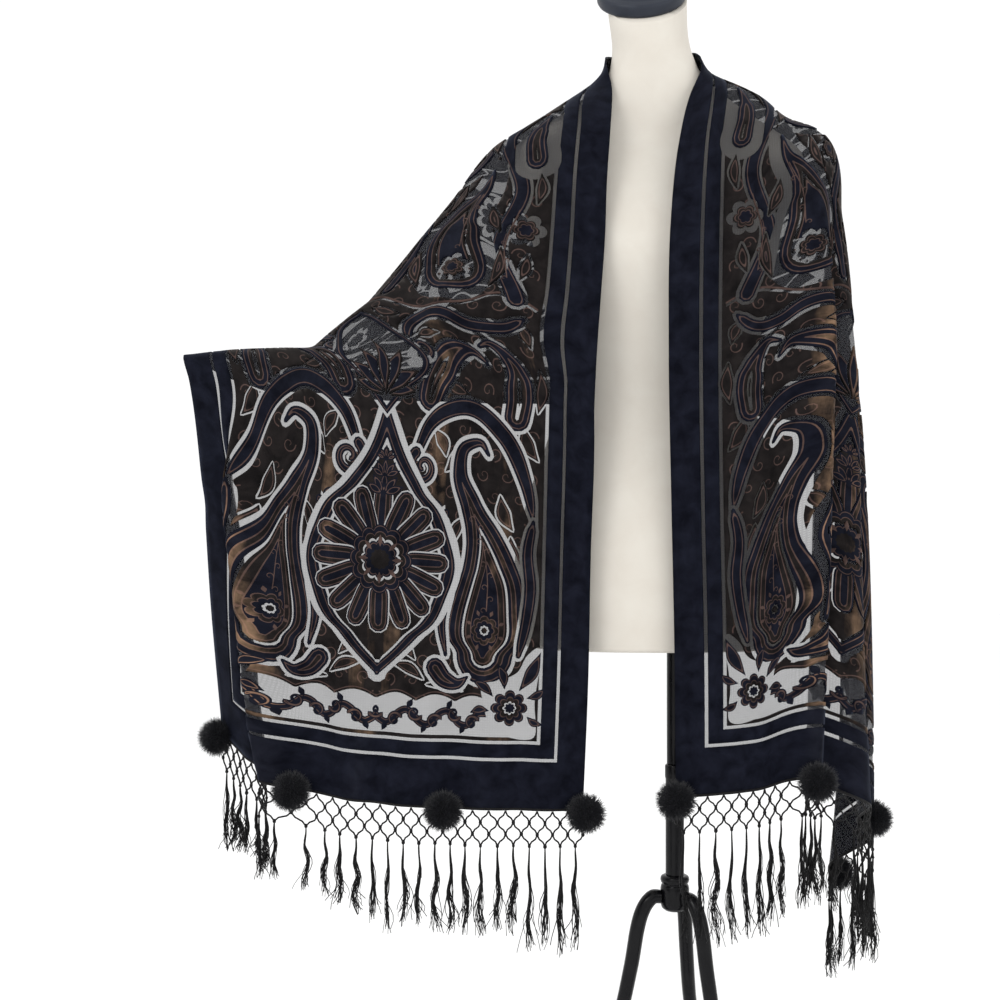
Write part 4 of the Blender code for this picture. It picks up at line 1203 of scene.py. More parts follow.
STAND_FINISH = HardFinish("stand_paint", (0.0035, 0.0035, 0.0045), (0.007, 0.007, 0.008), 0.14,
                          0.0, 50.0, 0.05, 0.16)
FOOT_FINISH = HardFinish("foot_rubber", (0.012, 0.012, 0.012), (0.022, 0.022, 0.021), 0.75, 0.0,
                         120.0, 0.30)


class GeometryRecipe:
    """A Geometry Nodes tree with named inputs, applied to a mesh and baked."""

    def __init__(self, name: str, inputs: dict[str, tuple[str, float]]) -> None:
        """Makes the tree's sockets and its two end nodes.

        Args:
            name: The tree's name.
            inputs: Each input's socket type and starting value.
        """
        self.tree = bpy.data.node_groups.new(name, "GeometryNodeTree")
        face = self.tree.interface
        face.new_socket("Geometry", in_out="INPUT", socket_type="NodeSocketGeometry")
        face.new_socket("Geometry", in_out="OUTPUT", socket_type="NodeSocketGeometry")
        for label, (kind, value) in inputs.items():
            socket = face.new_socket(label, in_out="INPUT", socket_type=kind)
            if value is not None:
                socket.default_value = value
        self.nodes = Nodes(self.tree)
        self.given = self.nodes.add("NodeGroupInput").outputs
        self.result = self.nodes.add("NodeGroupOutput").inputs

    def end(self, geometry: bpy.types.NodeSocket) -> None:
        """Realizes what is made, gives it its material, and hands it out."""
        real = self.nodes.add("GeometryNodeRealizeInstances", {"Geometry": geometry})
        painted = self.nodes.add("GeometryNodeSetMaterial", {"Geometry": real.outputs[0],
                                                             "Material": self.given["Material"]})
        self.nodes.feed(self.result["Geometry"], painted.outputs[0])

    def bake(self, name: str, mesh: bpy.types.Mesh, **values) -> bpy.types.Object:
        """Runs the tree on a mesh and keeps the result as a plain object.

        Args:
            name: The object's name.
            mesh: What the tree starts from.
            **values: Its inputs, by name with _ for spaces.

        Returns:
            The baked object, at the origin.
        """
        worker = bpy.data.objects.new(f"{name}_start", mesh)
        bpy.context.scene.collection.objects.link(worker)
        modifier = worker.modifiers.new("recipe", "NODES")
        modifier.node_group = self.tree
        sockets = {item.name: item.identifier for item in self.tree.interface.items_tree
                   if item.in_out == "INPUT"}
        for label, value in values.items():
            modifier[sockets[label.replace("_", " ")]] = value
        bpy.context.view_layer.update()
        ready = worker.evaluated_get(bpy.context.evaluated_depsgraph_get())
        baked = bpy.data.meshes.new_from_object(ready)
        bpy.data.objects.remove(worker)
        baked.shade_smooth()
        made = bpy.data.objects.new(name, baked)
        bpy.context.scene.collection.objects.link(made)
        return made


def cord_recipe() -> GeometryRecipe:
    """Round cords along the edges of a mesh, as thick as its girth attribute says."""
    recipe = GeometryRecipe("cords_along_edges", {
        "Sides": ("NodeSocketInt", 4),
        "Thickness": ("NodeSocketFloat", 1.0),
        "Material": ("NodeSocketMaterial", None),
    })
    nodes, given = recipe.nodes, recipe.given
    lines = nodes.add("GeometryNodeMeshToCurve", {"Mesh": given["Geometry"]})
    girth = nodes.add("GeometryNodeInputNamedAttribute", {"Name": "girth"}, data_type="FLOAT")
    thick = nodes.math("MULTIPLY", girth.outputs[0], given["Thickness"])
    ring = nodes.add("GeometryNodeCurvePrimitiveCircle", {"Resolution": given["Sides"],
                                                          "Radius": 1.0})
    solid = nodes.add("GeometryNodeCurveToMesh", {"Curve": lines.outputs[0],
                                                  "Profile Curve": ring.outputs[0],
                                                  "Scale": thick, "Fill Caps": True})
    recipe.end(solid.outputs[0])
    return recipe


def knot_recipe() -> GeometryRecipe:
    """A small knot on every point of a mesh."""
    recipe = GeometryRecipe("knots_on_points", {
        "Radius": ("NodeSocketFloat", 0.002),
        "Seed": ("NodeSocketInt", 5),
        "Material": ("NodeSocketMaterial", None),
    })
    nodes, given = recipe.nodes, recipe.given
    ball = nodes.add("GeometryNodeMeshIcoSphere", {"Radius": given["Radius"],
                                                   "Subdivisions": 2})
    size = nodes.add("FunctionNodeRandomValue", {"Seed": given["Seed"]},
                     data_type="FLOAT_VECTOR")
    size.inputs["Min"].default_value = (0.85, 0.85, 1.0)
    size.inputs["Max"].default_value = (1.15, 1.15, 1.5)
    spots = nodes.add("GeometryNodeInstanceOnPoints", {"Points": given["Geometry"],
                                                       "Instance": ball.outputs[0],
                                                       "Scale": size.outputs[0]})
    recipe.end(spots.outputs[0])
    return recipe


def fur_recipe() -> GeometryRecipe:
    """Hairs that stand on a skin, each a slim spike leaning its own way."""
    recipe = GeometryRecipe("fur_on_skin", {
        "Density": ("NodeSocketFloat", 800000.0),
        "Hair Length": ("NodeSocketFloat", 0.009),
        "Hair Radius": ("NodeSocketFloat", 0.0004),
        "Lean": ("NodeSocketFloat", 0.45),
        "Seed": ("NodeSocketInt", 3),
        "Material": ("NodeSocketMaterial", None),
    })
    nodes, given = recipe.nodes, recipe.given
    spots = nodes.add("GeometryNodeDistributePointsOnFaces", {"Mesh": given["Geometry"],
                                                              "Density": given["Density"],
                                                              "Seed": given["Seed"]})
    hair = nodes.add("GeometryNodeMeshCone", {"Vertices": 3, "Side Segments": 1,
                                              "Radius Top": 0.0,
                                              "Radius Bottom": given["Hair Radius"],
                                              "Depth": given["Hair Length"]},
                     fill_type="NONE")
    low = nodes.math("MULTIPLY", given["Lean"], -1.0)
    turns = []
    for shift in (1, 2):
        seed = nodes.math("ADD", given["Seed"], float(shift))
        turn = nodes.add("FunctionNodeRandomValue", {"Seed": seed}, data_type="FLOAT")
        nodes.feed(next(s for s in turn.inputs if s.name == "Min" and s.type == "VALUE"), low)
        nodes.feed(next(s for s in turn.inputs if s.name == "Max" and s.type == "VALUE"),
                   given["Lean"])
        turns.append(next(s for s in turn.outputs if s.type == "VALUE" and s.enabled))
    euler = nodes.add("ShaderNodeCombineXYZ", {"X": turns[0], "Y": turns[1]})
    lean = nodes.add("FunctionNodeEulerToRotation", {0: euler.outputs[0]})
    aim = nodes.add("FunctionNodeRotateRotation", {0: spots.outputs["Rotation"],
                                                   1: lean.outputs[0]}, rotation_space="LOCAL")
    size = nodes.add("FunctionNodeRandomValue", {"Seed": given["Seed"]},
                     data_type="FLOAT_VECTOR")
    size.inputs["Min"].default_value = (0.8, 0.8, 0.62)
    size.inputs["Max"].default_value = (1.2, 1.2, 1.08)
    placed = nodes.add("GeometryNodeInstanceOnPoints", {"Points": spots.outputs["Points"],
                                                        "Instance": hair.outputs["Mesh"],
                                                        "Rotation": aim.outputs[0],
                                                        "Scale": size.outputs[0]})
    both = nodes.add("GeometryNodeJoinGeometry")
    nodes.tree.links.new(placed.outputs[0], both.inputs[0])
    nodes.tree.links.new(given["Geometry"], both.inputs[0])
    recipe.end(both.outputs[0])
    return recipe


@dataclass
class Stole:
    """The burnout cloth: its sheer ground and the pile on it."""

    drape: Drape
    nap: bpy.types.NodeTree
    ground_step: float = 0.0062
    ground_wall: float = 0.0003
    ground_lift: float = -0.0004
    pile_lift: float = 0.0015
    pile_depth: float = 0.0016

    def build(self) -> tuple[bpy.types.Object, list[bpy.types.Object]]:
        """Makes the ground and both halves of the pile, and gives them in that order."""
        pattern = BurnoutPattern()
        pattern.frame()
        pattern.end_panel()
        pattern.middle()
        places, triangles, kinds = pattern.cut()
        order = (Surface.BORDER, Surface.MOTIF, Surface.LINE)
        slots = np.array([order.index(kind) for kind in kinds], np.int32)
        first = places[triangles, 0].mean(axis=1) < CLOTH_LENGTH / 2
        finishes = [f.material(self.nap) for f in (BORDER_VELVET, MOTIF_VELVET, LINE_VELVET)]
        piles = [self.pile(name, places, triangles[half], slots[half], finishes)
                 for name, half in (("stole_pile_left", first), ("stole_pile_right", ~first))]
        return self.ground(), piles

    def flat_uv(self, mesh: bpy.types.Mesh, places: np.ndarray) -> None:
        """Keeps each corner's place on the flat cut, in metres, as a UV map."""
        layer = mesh.uv_layers.new(name="flat")
        corner = np.zeros(len(mesh.loops), np.int32)
        mesh.loops.foreach_get("vertex_index", corner)
        layer.data.foreach_set("uv", places[corner][:, ::-1].astype(np.float32).ravel())

    def ground(self) -> bpy.types.Object:
        """The sheer ground: an even grid laid on the drape."""
        rows = round(CLOTH_LENGTH / self.ground_step) + 1
        columns = round(CLOTH_WIDTH / self.ground_step) + 1
        s, v = np.meshgrid(np.linspace(0.0, CLOTH_LENGTH, rows),
                           np.linspace(0.0, CLOTH_WIDTH, columns), indexing="ij")
        places = np.stack((s.ravel(), v.ravel()), axis=1)
        points = self.drape.lay(places[:, 0], places[:, 1], self.ground_lift)
        index = np.arange(rows * columns).reshape(rows, columns)
        faces = np.stack((index[:-1, :-1], index[1:, :-1], index[1:, 1:], index[:-1, 1:]),
                         axis=-1).reshape(-1, 4)
        mesh = new_mesh("stole_ground", points, faces.tolist())
        self.flat_uv(mesh, places)
        ground = new_object("stole_ground", mesh, GROUND_SHEER.material())
        wall = ground.modifiers.new("wall", "SOLIDIFY")
        wall.thickness = self.ground_wall
        wall.offset = 0.0
        return finish_piece(ground, "velvet", "stole")

    def pile(self, name: str, places: np.ndarray, triangles: np.ndarray, slots: np.ndarray,
             finishes: Sequence[bpy.types.Material]) -> bpy.types.Object:
        """One half of the standing pile, with its walls.

        Args:
            name: The piece's name.
            places: Every point of the pattern (along, across).
            triangles: This half's triangles.
            slots: The finish of each of them.
            finishes: The finishes.

        Returns:
            The piece.
        """
        used = np.unique(triangles)
        remap = np.full(len(places), -1)
        remap[used] = np.arange(len(used))
        places, triangles = places[used], remap[triangles]
        found = self.drape.read(places[:, 0], places[:, 1])
        normal = unit(found[:, 3:6])
        points = found[:, :3] + self.pile_lift * normal
        tops, walls, owners = self.edge_walls(triangles, len(points))
        points = np.concatenate((points, points[tops] - self.pile_depth * normal[tops]))
        places = np.concatenate((places, places[tops]))
        crests = np.concatenate((found[:, 6], found[tops, 6]))
        mesh = new_mesh(name, points, triangles.tolist() + walls.tolist())
        self.flat_uv(mesh, places)
        # The crest attribute places the pile's painted highlight on the fold tops.
        crest = mesh.attributes.new("crest", "FLOAT", "POINT")
        crest.data.foreach_set("value", np.clip(crests, 0.0, 2.0).astype(np.float32))
        pile = new_object(name, mesh, *finishes)
        mesh.polygons.foreach_set("material_index", np.concatenate((slots, slots[owners])))
        LOG.info("%s has %d triangles", name, len(triangles) + 2 * len(walls))
        return finish_piece(pile, "velvet", "stole")

    @staticmethod
    def edge_walls(triangles: np.ndarray, count: int
                   ) -> tuple[np.ndarray, np.ndarray, np.ndarray]:
        """The walls that drop from every open edge of the pile to the ground.

        Args:
            triangles: The pile's upper side.
            count: How many points it has.

        Returns:
            The points that get a lower one, the walls, and each wall's own triangle.
        """
        edges = np.concatenate([triangles[:, pair] for pair in ((0, 1), (1, 2), (2, 0))])
        _, first, uses = np.unique(np.sort(edges, axis=1), axis=0, return_index=True,
                                   return_counts=True)
        alone = first[uses == 1]
        rim = edges[alone]
        tops = np.unique(rim)
        lower = np.full(count, -1)
        lower[tops] = count + np.arange(len(tops))
        walls = np.stack((rim[:, 1], rim[:, 0], lower[rim[:, 0]], lower[rim[:, 1]]), axis=1)
        return tops, walls, alone % len(triangles)


@dataclass
class Fringe:
    """The knotted net below a short hem, with its bundles of thread."""

    drape: Drape
    side: str
    nap: bpy.types.NodeTree
    columns: int = 27
    rows: int = 3
    drop: float = 0.0135
    header: float = 0.0030
    gap: float = 0.0009
    cord: float = 0.0011
    knot: float = 0.0021
    threads: int = 22
    thread: float = 0.00054
    sway: float = 0.0030
    loose_share: float = 0.34
    # The other threads stray this share of a loose one's way.
    tight: float = 0.35
    core: float = 0.0017
    stray: float = 0.0066
    curl: float = 0.007

    def __post_init__(self) -> None:
        """Reads the hem that the fringe hangs from."""
        self.hem = 0.0 if self.side == "left" else CLOTH_LENGTH
        self.turn = -1.0 if self.side == "left" else 1.0
        self.random = np.random.default_rng(11 if self.side == "left" else 23)
        self.lengths = STRAND_LENGTH[self.side]

    def point(self, v: float) -> np.ndarray:
        """The place of the hem at that distance from the neck edge."""
        v = min(max(v, 0.0), CLOTH_WIDTH)
        return self.drape.lay(np.array([self.hem]), np.array([v]), 0.0)[0]

    def ahead(self, v: float) -> np.ndarray:
        """The level direction of the hem there, towards the outer edge."""
        step = self.point(v + 0.008) - self.point(v - 0.008)
        return unit(step * np.array((1.0, 1.0, 0.0)))

    def outward(self, v: float) -> np.ndarray:
        """The level direction away from the wearer there."""
        ahead = self.ahead(v)
        return np.array((ahead[1], -ahead[0], 0.0)) * self.turn

    def below(self, v: float, drop: float, aside: float = 0.0, out: float = 0.0) -> np.ndarray:
        """A place that far below the hem, moved along it and outward."""
        fall = np.array((0.0, 0.0, self.gap + drop))
        return self.point(v) - fall + self.ahead(v) * aside + self.outward(v) * out

    def lines_mesh(self, name: str, lines: Sequence[tuple[np.ndarray, np.ndarray]]
                   ) -> bpy.types.Mesh:
        """A mesh of open lines, with their thickness as its girth attribute.

        Args:
            name: The mesh's name.
            lines: Each line's points and its radius at each of them.

        Returns:
            The mesh.
        """
        points, edges, radii = [], [], []
        for places, thickness in lines:
            first = len(points)
            points.extend(tuple(p) for p in places)
            radii.extend(thickness)
            edges.extend((first + k, first + k + 1) for k in range(len(places) - 1))
        mesh = bpy.data.meshes.new(name)
        mesh.from_pydata(points, edges, [])
        mesh.attributes.new("girth", "FLOAT", "POINT").data.foreach_set("value", radii)
        return mesh

    def net_lines(self) -> tuple[list, list]:
        """The cords of the net and its knots."""
        pitch = CLOTH_WIDTH / self.columns
        lines, knots = [], []
        count = 21 * self.columns
        rim = [self.below(CLOTH_WIDTH * k / count, self.header * 0.3) for k in range(count + 1)]
        lines.append((rim, [self.header * 0.62] * len(rim)))
        for k in range(self.columns + 1):
            for way in (-1, 1):
                if k == (0 if way < 0 else self.columns):
                    continue
                places = []
                for row in range(self.rows + 1):
                    v = abs((k + way * 0.5 * row) * pitch)
                    v = min(v, 2 * CLOTH_WIDTH - v)
                    places.append((v, self.header + row * self.drop))
                line = self.slack_cord(places)
                lines.append((line, [self.cord] * len(line)))
        for row in range(1, self.rows + 1):
            shift = 0.5 if row % 2 else 0.0
            for k in range(self.columns + (0 if row % 2 else 1)):
                knots.append(self.below((k + shift) * pitch, self.header + row * self.drop))
        return lines, knots

    def slack_cord(self, places: Sequence[tuple[float, float]]) -> list[np.ndarray]:
        """A cord from knot to knot that gives a little between them."""
        line = []
        for (v, drop), (next_v, next_drop) in zip(places, places[1:]):
            slack = self.random.uniform(-0.0009, 0.0009)
            for share in (0.0, 0.25, 0.5, 0.75):
                give = slack * math.sin(math.pi * share)
                belly = 0.0016 * math.sin(2 * math.pi * share)
                line.append(self.below(v + (next_v - v) * share, drop
                                       + (next_drop - drop) * share + belly, give))
        line.append(self.below(*places[-1]))
        return line

    def thread_lines(self) -> list:
        """The bundles of thread, one from each knot of the last row."""
        pitch = CLOTH_WIDTH / self.columns
        lines = []
        share = np.linspace(0.0, 1.0, 15)
        top = self.header + self.rows * self.drop
        for k in range(self.columns):
            v = (k + 0.5) * pitch
            ahead, out = self.ahead(v), self.outward(v)
            start = self.below(v, top)
            bundle = self.wander(share, self.sway)
            length = float(np.interp(v, *zip(*self.lengths))) * self.random.uniform(0.98, 1.12)
            for _ in range(self.threads):
                free = 1.0 if self.random.random() < self.loose_share else self.tight
                own = self.wander(share, self.stray * free)
                reach = length * self.random.uniform(0.82, 1.06)
                core = self.random.uniform(-1.0, 1.0, 2) * self.core * np.sqrt(share[:, None])
                spread = (self.random.uniform(-1.0, 1.0, 2) * self.stray * free
                          * share[:, None]**1.5)
                curl = self.random.uniform(-1.0, 1.0) * self.curl * free * share**5
                aside = bundle[0] + own[0] * share**1.4 + core[:, 0] + spread[:, 0] + curl
                away = bundle[1] * 0.7 + own[1] * share**1.4 + core[:, 1] + spread[:, 1]
                fall = np.outer(reach * share, (0.0, 0.0, -1.0))
                line = start + fall + np.outer(aside, ahead) + np.outer(away, out)
                width = self.thread * (1.2 - 0.35 * share) * self.random.uniform(0.8, 1.2)
                lines.append((line, width))
        return lines

    def wander(self, share: np.ndarray, amount: float) -> np.ndarray:
        """Two slow waves down a strand, sideways and outward, from nothing at its top."""
        wave = []
        for _ in range(2):
            turns = self.random.uniform(0.8, 2.2)
            phase = self.random.uniform(0.0, 2 * math.pi)
            wave.append(amount * smooth_step(share * 2.0)
                        * np.sin(2 * math.pi * turns * share + phase)
                        * self.random.uniform(0.4, 1.0))
        return np.array(wave)

    def build(self, cords: GeometryRecipe, knots: GeometryRecipe) -> bpy.types.Object:
        """Makes the net, its knots and its threads as one piece."""
        finish = THREAD_FINISH.material(self.nap)
        lines, places = self.net_lines()
        name = f"fringe_{self.side}_dressed"
        net = cords.bake(name, self.lines_mesh(f"{name}_net", lines), Sides=5, Thickness=1.0,
                         Material=finish)
        spots = bpy.data.meshes.new(f"{name}_spots")
        spots.from_pydata([tuple(p) for p in places], [], [])
        tied = knots.bake(f"{name}_knots", spots, Radius=self.knot, Seed=5, Material=finish)
        loose = cords.bake(f"{name}_threads",
                           self.lines_mesh(f"{name}_lines", self.thread_lines()), Sides=3,
                           Thickness=1.0, Material=finish)
        bm = bmesh.new()
        for part in (net, tied, loose):
            bm.from_mesh(part.data)
        for part in (tied, loose):
            bpy.data.objects.remove(part)
        bm.to_mesh(net.data)
        bm.free()
        net.data.shade_smooth()
        return finish_piece(net, "fringe", f"fringe_{self.side}")


@dataclass
class Pompom:
    """A fur ball on a hem, thinner at the back where it lies against the cloth."""

    node: str
    outward: np.ndarray
    seed: int
    skin: float = 0.0155
    reach: float = 0.0262
    back: float = 0.0098
    density: float = 820000.0
    hair_radius: float = 0.00044
    lean: float = 0.55
    press_gap: float = 0.0002

    def build(self, fur: GeometryRecipe, finish: bpy.types.Material) -> bpy.types.Object:
        """Makes the ball's skin and grows its fur."""
        low, high = (np.array(corner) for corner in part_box(self.node))
        half = (high[2] - low[2]) / 2
        centre = (low + high) / 2
        for axis in (0, 1):
            lean = self.outward[axis]
            whole = low[axis] + half if lean < 0.0 else high[axis] - half
            centre[axis] += (whole - centre[axis]) * min(1.0, abs(lean) * 1.4)
        bm = bmesh.new()
        bmesh.ops.create_icosphere(bm, subdivisions=3, radius=self.skin)
        facing = Vector(self.outward)
        for vertex in bm.verts:
            behind = -self.back - vertex.co.dot(facing)
            if behind > 0.0:
                vertex.co += facing * behind
            vertex.co += Vector(centre)
        skin = bpy.data.meshes.new(f"{self.node}_skin")
        bm.to_mesh(skin)
        bm.free()
        ball = fur.bake(f"{self.node}_fur", skin, Density=self.density,
                        Hair_Length=self.reach - self.skin + 0.001,
                        Hair_Radius=self.hair_radius, Lean=self.lean, Seed=self.seed,
                        Material=finish)
        self.press(ball.data, Vector(centre), facing)
        return finish_piece(ball, "fur", self.node)

    def press(self, mesh: bpy.types.Mesh, centre: Vector, facing: Vector) -> None:
        """Presses the hairs at the back flat against the cloth."""
        for vertex in mesh.vertices:
            behind = -self.back - (vertex.co - centre).dot(facing)
            if behind > 0.0:
                vertex.co += facing * (behind + self.press_gap)


def turned_mesh(name: str, profile: Sequence[tuple[float, float]], steps: int = 56,
                bevel: float = 0.0006) -> bpy.types.Mesh:
    """A turned piece, its corners softened.

    Args:
        name: The mesh's name.
        profile: Radius and height from the top pole to the bottom one.
        steps: How many sides it has.
        bevel: How far from a corner its cut edge starts, at most.

    Returns:
        The closed mesh, about the Z axis.
    """
    points = np.array(profile, float)
    soft = [points[0]]
    for before, corner, after in zip(points, points[1:], points[2:]):
        if corner[0] > 1e-6:
            for end in (before, after):
                gap = end - corner
                length = np.linalg.norm(gap)
                soft.append(corner + gap / length * min(bevel, 0.3 * length))
        else:
            soft.append(corner)
    soft.append(points[-1])
    bm = bmesh.new()
    line = [bm.verts.new((r, 0.0, z)) for r, z in soft]
    edges = [bm.edges.new(pair) for pair in zip(line, line[1:])]
    bmesh.ops.spin(bm, geom=line + edges, cent=(0, 0, 0), axis=(0, 0, 1), dvec=(0, 0, 0),
                   angle=2 * math.pi, steps=steps)
    bmesh.ops.remove_doubles(bm, verts=bm.verts, dist=1e-6)
    bmesh.ops.recalc_face_normals(bm, faces=bm.faces)
    mesh = bpy.data.meshes.new(name)
    bm.to_mesh(mesh)
    bm.free()
    mesh.shade_smooth()
    mesh.set_sharp_from_angle(angle=math.radians(40.0))
    return mesh


@dataclass
class DressForm:
    """The limbless form, its neck cap, and its stand."""

    axis: Vector
    nap: bpy.types.NodeTree
    rings: int = 150
    sides: int = 120
    bottom_round: float = 0.005
    cap_profile: tuple = (
        (0.0000, 0.0230), (0.0270, 0.0225), (0.0415, 0.0205), (0.0445, 0.0180),
        (0.0535, 0.0170), (0.0555, 0.0140), (0.0555, 0.0040), (0.0535, 0.0004),
        (0.0000, 0.0004),
    )
    pole_profile: tuple = ((0.0, 0.6186), (0.0100, 0.6186), (0.0100, 0.4704), (0.0, 0.4704))
    sleeve_profile: tuple = (
        (0.0, 0.4700), (0.0112, 0.4700), (0.0124, 0.4680), (0.0124, 0.4540),
        (0.0116, 0.4520), (0.0116, 0.3324), (0.0, 0.3324),
    )
    hub_profile: tuple = (
        (0.0, 0.3320), (0.0135, 0.3320), (0.0172, 0.3302), (0.0182, 0.3265),
        (0.0172, 0.3228), (0.0156, 0.3212), (0.0172, 0.3190), (0.0180, 0.3150),
        (0.0180, 0.2965), (0.0164, 0.2912), (0.0120, 0.2876), (0.0, 0.2862),
    )
    # Distance out from the pole, height, and radius of the leg there.
    leg_route: tuple = (
        (0.0188, 0.3052, 0.0085), (0.0290, 0.3045, 0.0090), (0.0400, 0.2910, 0.0092),
        (0.0480, 0.2660, 0.0092), (0.0570, 0.2150, 0.0090), (0.0740, 0.1500, 0.0086),
        (0.1100, 0.0880, 0.0080), (0.1700, 0.0400, 0.0074), (0.2300, 0.0195, 0.0070),
        (0.2580, 0.0186, 0.0070),
    )
    leg_angle: float = math.radians(-52.0)
    leg_steps: int = 64
    leg_sides: int = 20
    foot_out: float = 0.2450
    foot_profile: tuple = ((0.0, 0.0105), (0.0128, 0.0105), (0.0150, 0.0), (0.0, 0.0))

    def body(self) -> bpy.types.Object:
        """The shell of the form, from neck to hip."""
        top = FORM_SECTIONS[-1][0]
        heights = np.concatenate((
            FORM_BOTTOM + self.bottom_round * (1 - np.cos(np.linspace(0, math.pi / 2, 6))),
            np.linspace(FORM_BOTTOM + self.bottom_round, top, self.rings)[1:]))
        angles = np.linspace(0.0, 2 * math.pi, self.sides, endpoint=False)
        h, a = np.meshgrid(heights, angles, indexing="ij")
        reach = form_radius(h, a)
        near = np.clip((h - FORM_BOTTOM) / self.bottom_round, 0.0, 1.0)
        reach = reach - self.bottom_round * (1 - np.sqrt(1 - (1 - near) ** 2))
        points = np.stack((reach * np.cos(a), reach * np.sin(a), h), axis=-1)
        points[..., 2] += neck_slant(points[..., 0], points[..., 1], h)
        points[..., 0] += neck_shift(h)
        grid = np.arange(len(heights) * self.sides).reshape(len(heights), self.sides)
        beside = np.roll(grid, -1, axis=1)
        faces = np.stack((grid[:-1], beside[:-1], beside[1:], grid[1:]), axis=-1)
        faces = faces.reshape(-1, 4).tolist()
        points = points.reshape(-1, 3)
        ends = len(points)
        points = np.concatenate((points, [(0, 0, FORM_BOTTOM), (NECK_LEAN, 0, top)]))
        for k in range(self.sides):
            after = (k + 1) % self.sides
            faces.append([ends, int(grid[0, after]), int(grid[0, k])])
            faces.append([ends + 1, int(grid[-1, k]), int(grid[-1, after])])
        mesh = new_mesh("form_shell", points + np.array(self.axis), faces)
        mesh.set_sharp_from_angle(angle=math.radians(60.0))
        body = new_object("form_shell", mesh, FORM_FINISH.material(self.nap))
        return finish_piece(body, "form", "form_body")

    def turned(self, node: str, profile: Sequence, finish: bpy.types.Material) -> None:
        """One turned piece of the stand, over the pole's own axis."""
        mesh = turned_mesh(f"{node}_turned", profile)
        for vertex in mesh.vertices:
            vertex.co += self.axis + Vector((POLE_X, 0.0, 0.0))
        finish_piece(new_object(f"{node}_turned", mesh, finish), "stand", node)

    def cap(self) -> None:
        """The cap on the slanted top of the neck, tilted forward and to the viewer's left."""
        mesh = turned_mesh("neck_cap_turned", self.cap_profile, 72)
        lean = Euler((CAP_TILT, -CAP_ROLL, 0.0)).to_matrix()
        place = Vector((NECK_LEAN, 0.0, FORM_SECTIONS[-1][0])) + lean @ Vector((CAP_ASIDE, 0, 0))
        mesh.transform(Matrix.Translation(self.axis + place) @ lean.to_4x4())
        finish_piece(new_object("neck_cap_turned", mesh, CAP_FINISH.material(self.nap)),
                     "stand", "neck_cap")

    def heading(self, number: int) -> float:
        """The angle at which a leg runs out, seen from above."""
        return self.leg_angle + (number - 1) * 2 * math.pi / 3

    def leg(self, number: int, finish: bpy.types.Material) -> None:
        """One curved leg: a round bar whose thickness follows its route."""
        angle = self.heading(number)
        places = spline(np.arange(len(self.leg_route)), self.leg_route,
                        np.linspace(0, len(self.leg_route) - 1, self.leg_steps))
        out = np.array((math.cos(angle), math.sin(angle), 0.0))
        across = np.array((-out[1], out[0], 0.0))
        line = places[:, :1] * out + places[:, 1:2] * np.array((0.0, 0.0, 1.0))
        ahead = unit(np.gradient(line, axis=0))
        up = np.cross(across, ahead)
        sides = self.leg_sides
        turns = np.linspace(0.0, 2 * math.pi, sides, endpoint=False)
        rings = [line[i] + places[i, 2] * (math.cos(t) * across + math.sin(t) * up[i])
                 for i in range(len(line)) for t in turns]
        bm = bmesh.new()
        shift = np.array(self.axis) + np.array((POLE_X, 0.0, 0.0))
        verts = [bm.verts.new(p + shift) for p in rings]
        for i in range(len(line) - 1):
            for k in range(sides):
                after = (k + 1) % sides
                bm.faces.new((verts[i * sides + k], verts[i * sides + after],
                              verts[(i + 1) * sides + after], verts[(i + 1) * sides + k]))
        bm.faces.new(verts[:sides][::-1])
        bm.faces.new(verts[-sides:])
        bmesh.ops.recalc_face_normals(bm, faces=bm.faces)
        mesh = bpy.data.meshes.new(f"leg_{number}_curved")
        bm.to_mesh(mesh)
        bm.free()
        mesh.shade_smooth()
        mesh.set_sharp_from_angle(angle=math.radians(50.0))
        finish_piece(new_object(mesh.name, mesh, finish), "stand", f"leg_{number}")

    def foot(self, number: int, finish: bpy.types.Material) -> None:
        """The pad below a leg's end."""
        angle = self.heading(number)
        mesh = turned_mesh(f"foot_{number}_turned", self.foot_profile, 40)
        place = Vector((POLE_X + self.foot_out * math.cos(angle),
                        self.foot_out * math.sin(angle), 0.0))
        for vertex in mesh.vertices:
            vertex.co += self.axis + place
        finish_piece(new_object(mesh.name, mesh, finish), "foot", f"foot_{number}")

    def build(self) -> None:
        """Makes every piece of the form and its stand."""
        self.body()
        self.cap()
        paint = STAND_FINISH.material(self.nap)
        for node, profile in (("pole", self.pole_profile), ("sleeve", self.sleeve_profile),
                              ("hub", self.hub_profile)):
            self.turned(node, profile, paint)
        rubber = FOOT_FINISH.material(self.nap)
        for number in (1, 2, 3):
            self.leg(number, paint)
            self.foot(number, rubber)


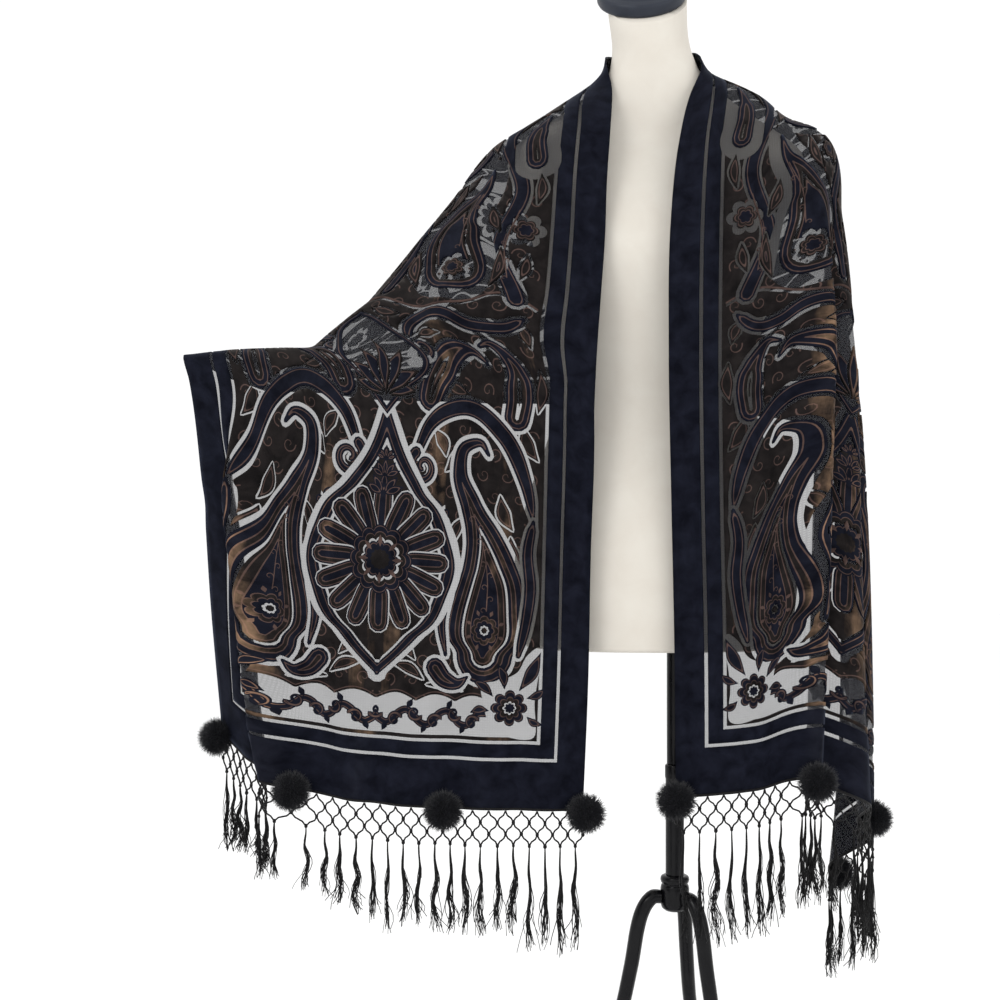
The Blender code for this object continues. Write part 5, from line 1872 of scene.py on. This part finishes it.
@dataclass
class Studio:
    """The camera, the pale floor and the soft light."""

    axis: Vector
    focal_pixels: float = 1520.0
    image_pixels: float = 1000.0
    camera_place: tuple = (-0.194, -1.900, 0.800)
    floor_reach: float = 9.0
    aim_height: float = 0.9
    white: float = 1.06

    def camera(self) -> None:
        """The photograph's camera: level, and straight at the front."""
        data = bpy.data.cameras.new("camera")
        data.sensor_width = 36.0
        data.lens = data.sensor_width * self.focal_pixels / self.image_pixels
        camera = bpy.data.objects.new("camera", data)
        camera.location = self.axis + Vector(self.camera_place)
        camera.rotation_euler = (math.pi / 2, 0.0, 0.0)
        bpy.context.scene.collection.objects.link(camera)
        bpy.context.scene.camera = camera

    def floor(self) -> None:
        """A wide pale floor."""
        mesh = bpy.data.meshes.new("floor")
        far = self.floor_reach
        mesh.from_pydata([(-far, -far, 0), (far, -far, 0), (far, far, 0), (-far, far, 0)], [],
                         [(0, 1, 2, 3)])
        made, _, shader = new_material("floor")
        shader.inputs["Base Color"].default_value = (0.96, 0.96, 0.96, 1.0)
        shader.inputs["Roughness"].default_value = 0.9
        new_object("floor", mesh, made)

    def light(self, name: str, place: Sequence[float], size: float, power: float) -> None:
        """A square soft light that faces the middle of the object."""
        data = bpy.data.lights.new(name, "AREA")
        data.size = size
        data.energy = power
        lamp = bpy.data.objects.new(name, data)
        lamp.location = place
        aim = Vector((0.0, 0.0, self.aim_height)) - Vector(place)
        lamp.rotation_mode = "QUATERNION"
        lamp.rotation_quaternion = aim.to_track_quat("-Z", "Y")
        bpy.context.scene.collection.objects.link(lamp)

    def build(self) -> None:
        """Sets the camera, floor, lights and white surroundings."""
        self.camera()
        self.floor()
        world = bpy.data.worlds.new("white_room")
        world.use_nodes = True
        background = world.node_tree.nodes["Background"]
        background.inputs["Color"].default_value = (1, 1, 1, 1)
        background.inputs["Strength"].default_value = self.white
        bpy.context.scene.world = world
        self.light("key", (-1.8, -2.4, 2.6), 1.2, 26.0)
        self.light("fill", (2.2, -2.0, 1.6), 1.6, 10.0)
        self.light("back", (0.6, 2.4, 2.2), 1.4, 12.0)
        bpy.context.scene.view_settings.view_transform = "Standard"


def main() -> None:
    """Builds every piece in order."""
    logging.basicConfig(level=logging.INFO, format="%(message)s")
    low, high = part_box("pole")
    axis = Vector(((low[0] + high[0]) / 2 - POLE_X, (low[1] + high[1]) / 2, 0.0))
    Studio(axis).build()
    nap = nap_group()
    drape = Drape(axis)
    ground, carried = Stole(drape, nap).build()
    cords, knots, fur = cord_recipe(), knot_recipe(), fur_recipe()
    fur_finish = FUR_FINISH.material(nap)
    for side in ("left", "right"):
        fringe = Fringe(drape, side, nap)
        carried.append(fringe.build(cords, knots))
        for k in range(POMPOMS):
            ball = Pompom(f"pompom_{side}_{k + 1}",
                          fringe.outward(CLOTH_WIDTH * k / (POMPOMS - 1)), 10 * k + 3)
            carried.append(ball.build(fur, fur_finish))
    DressForm(axis, nap).build()


if __name__ == "__main__":
    main()
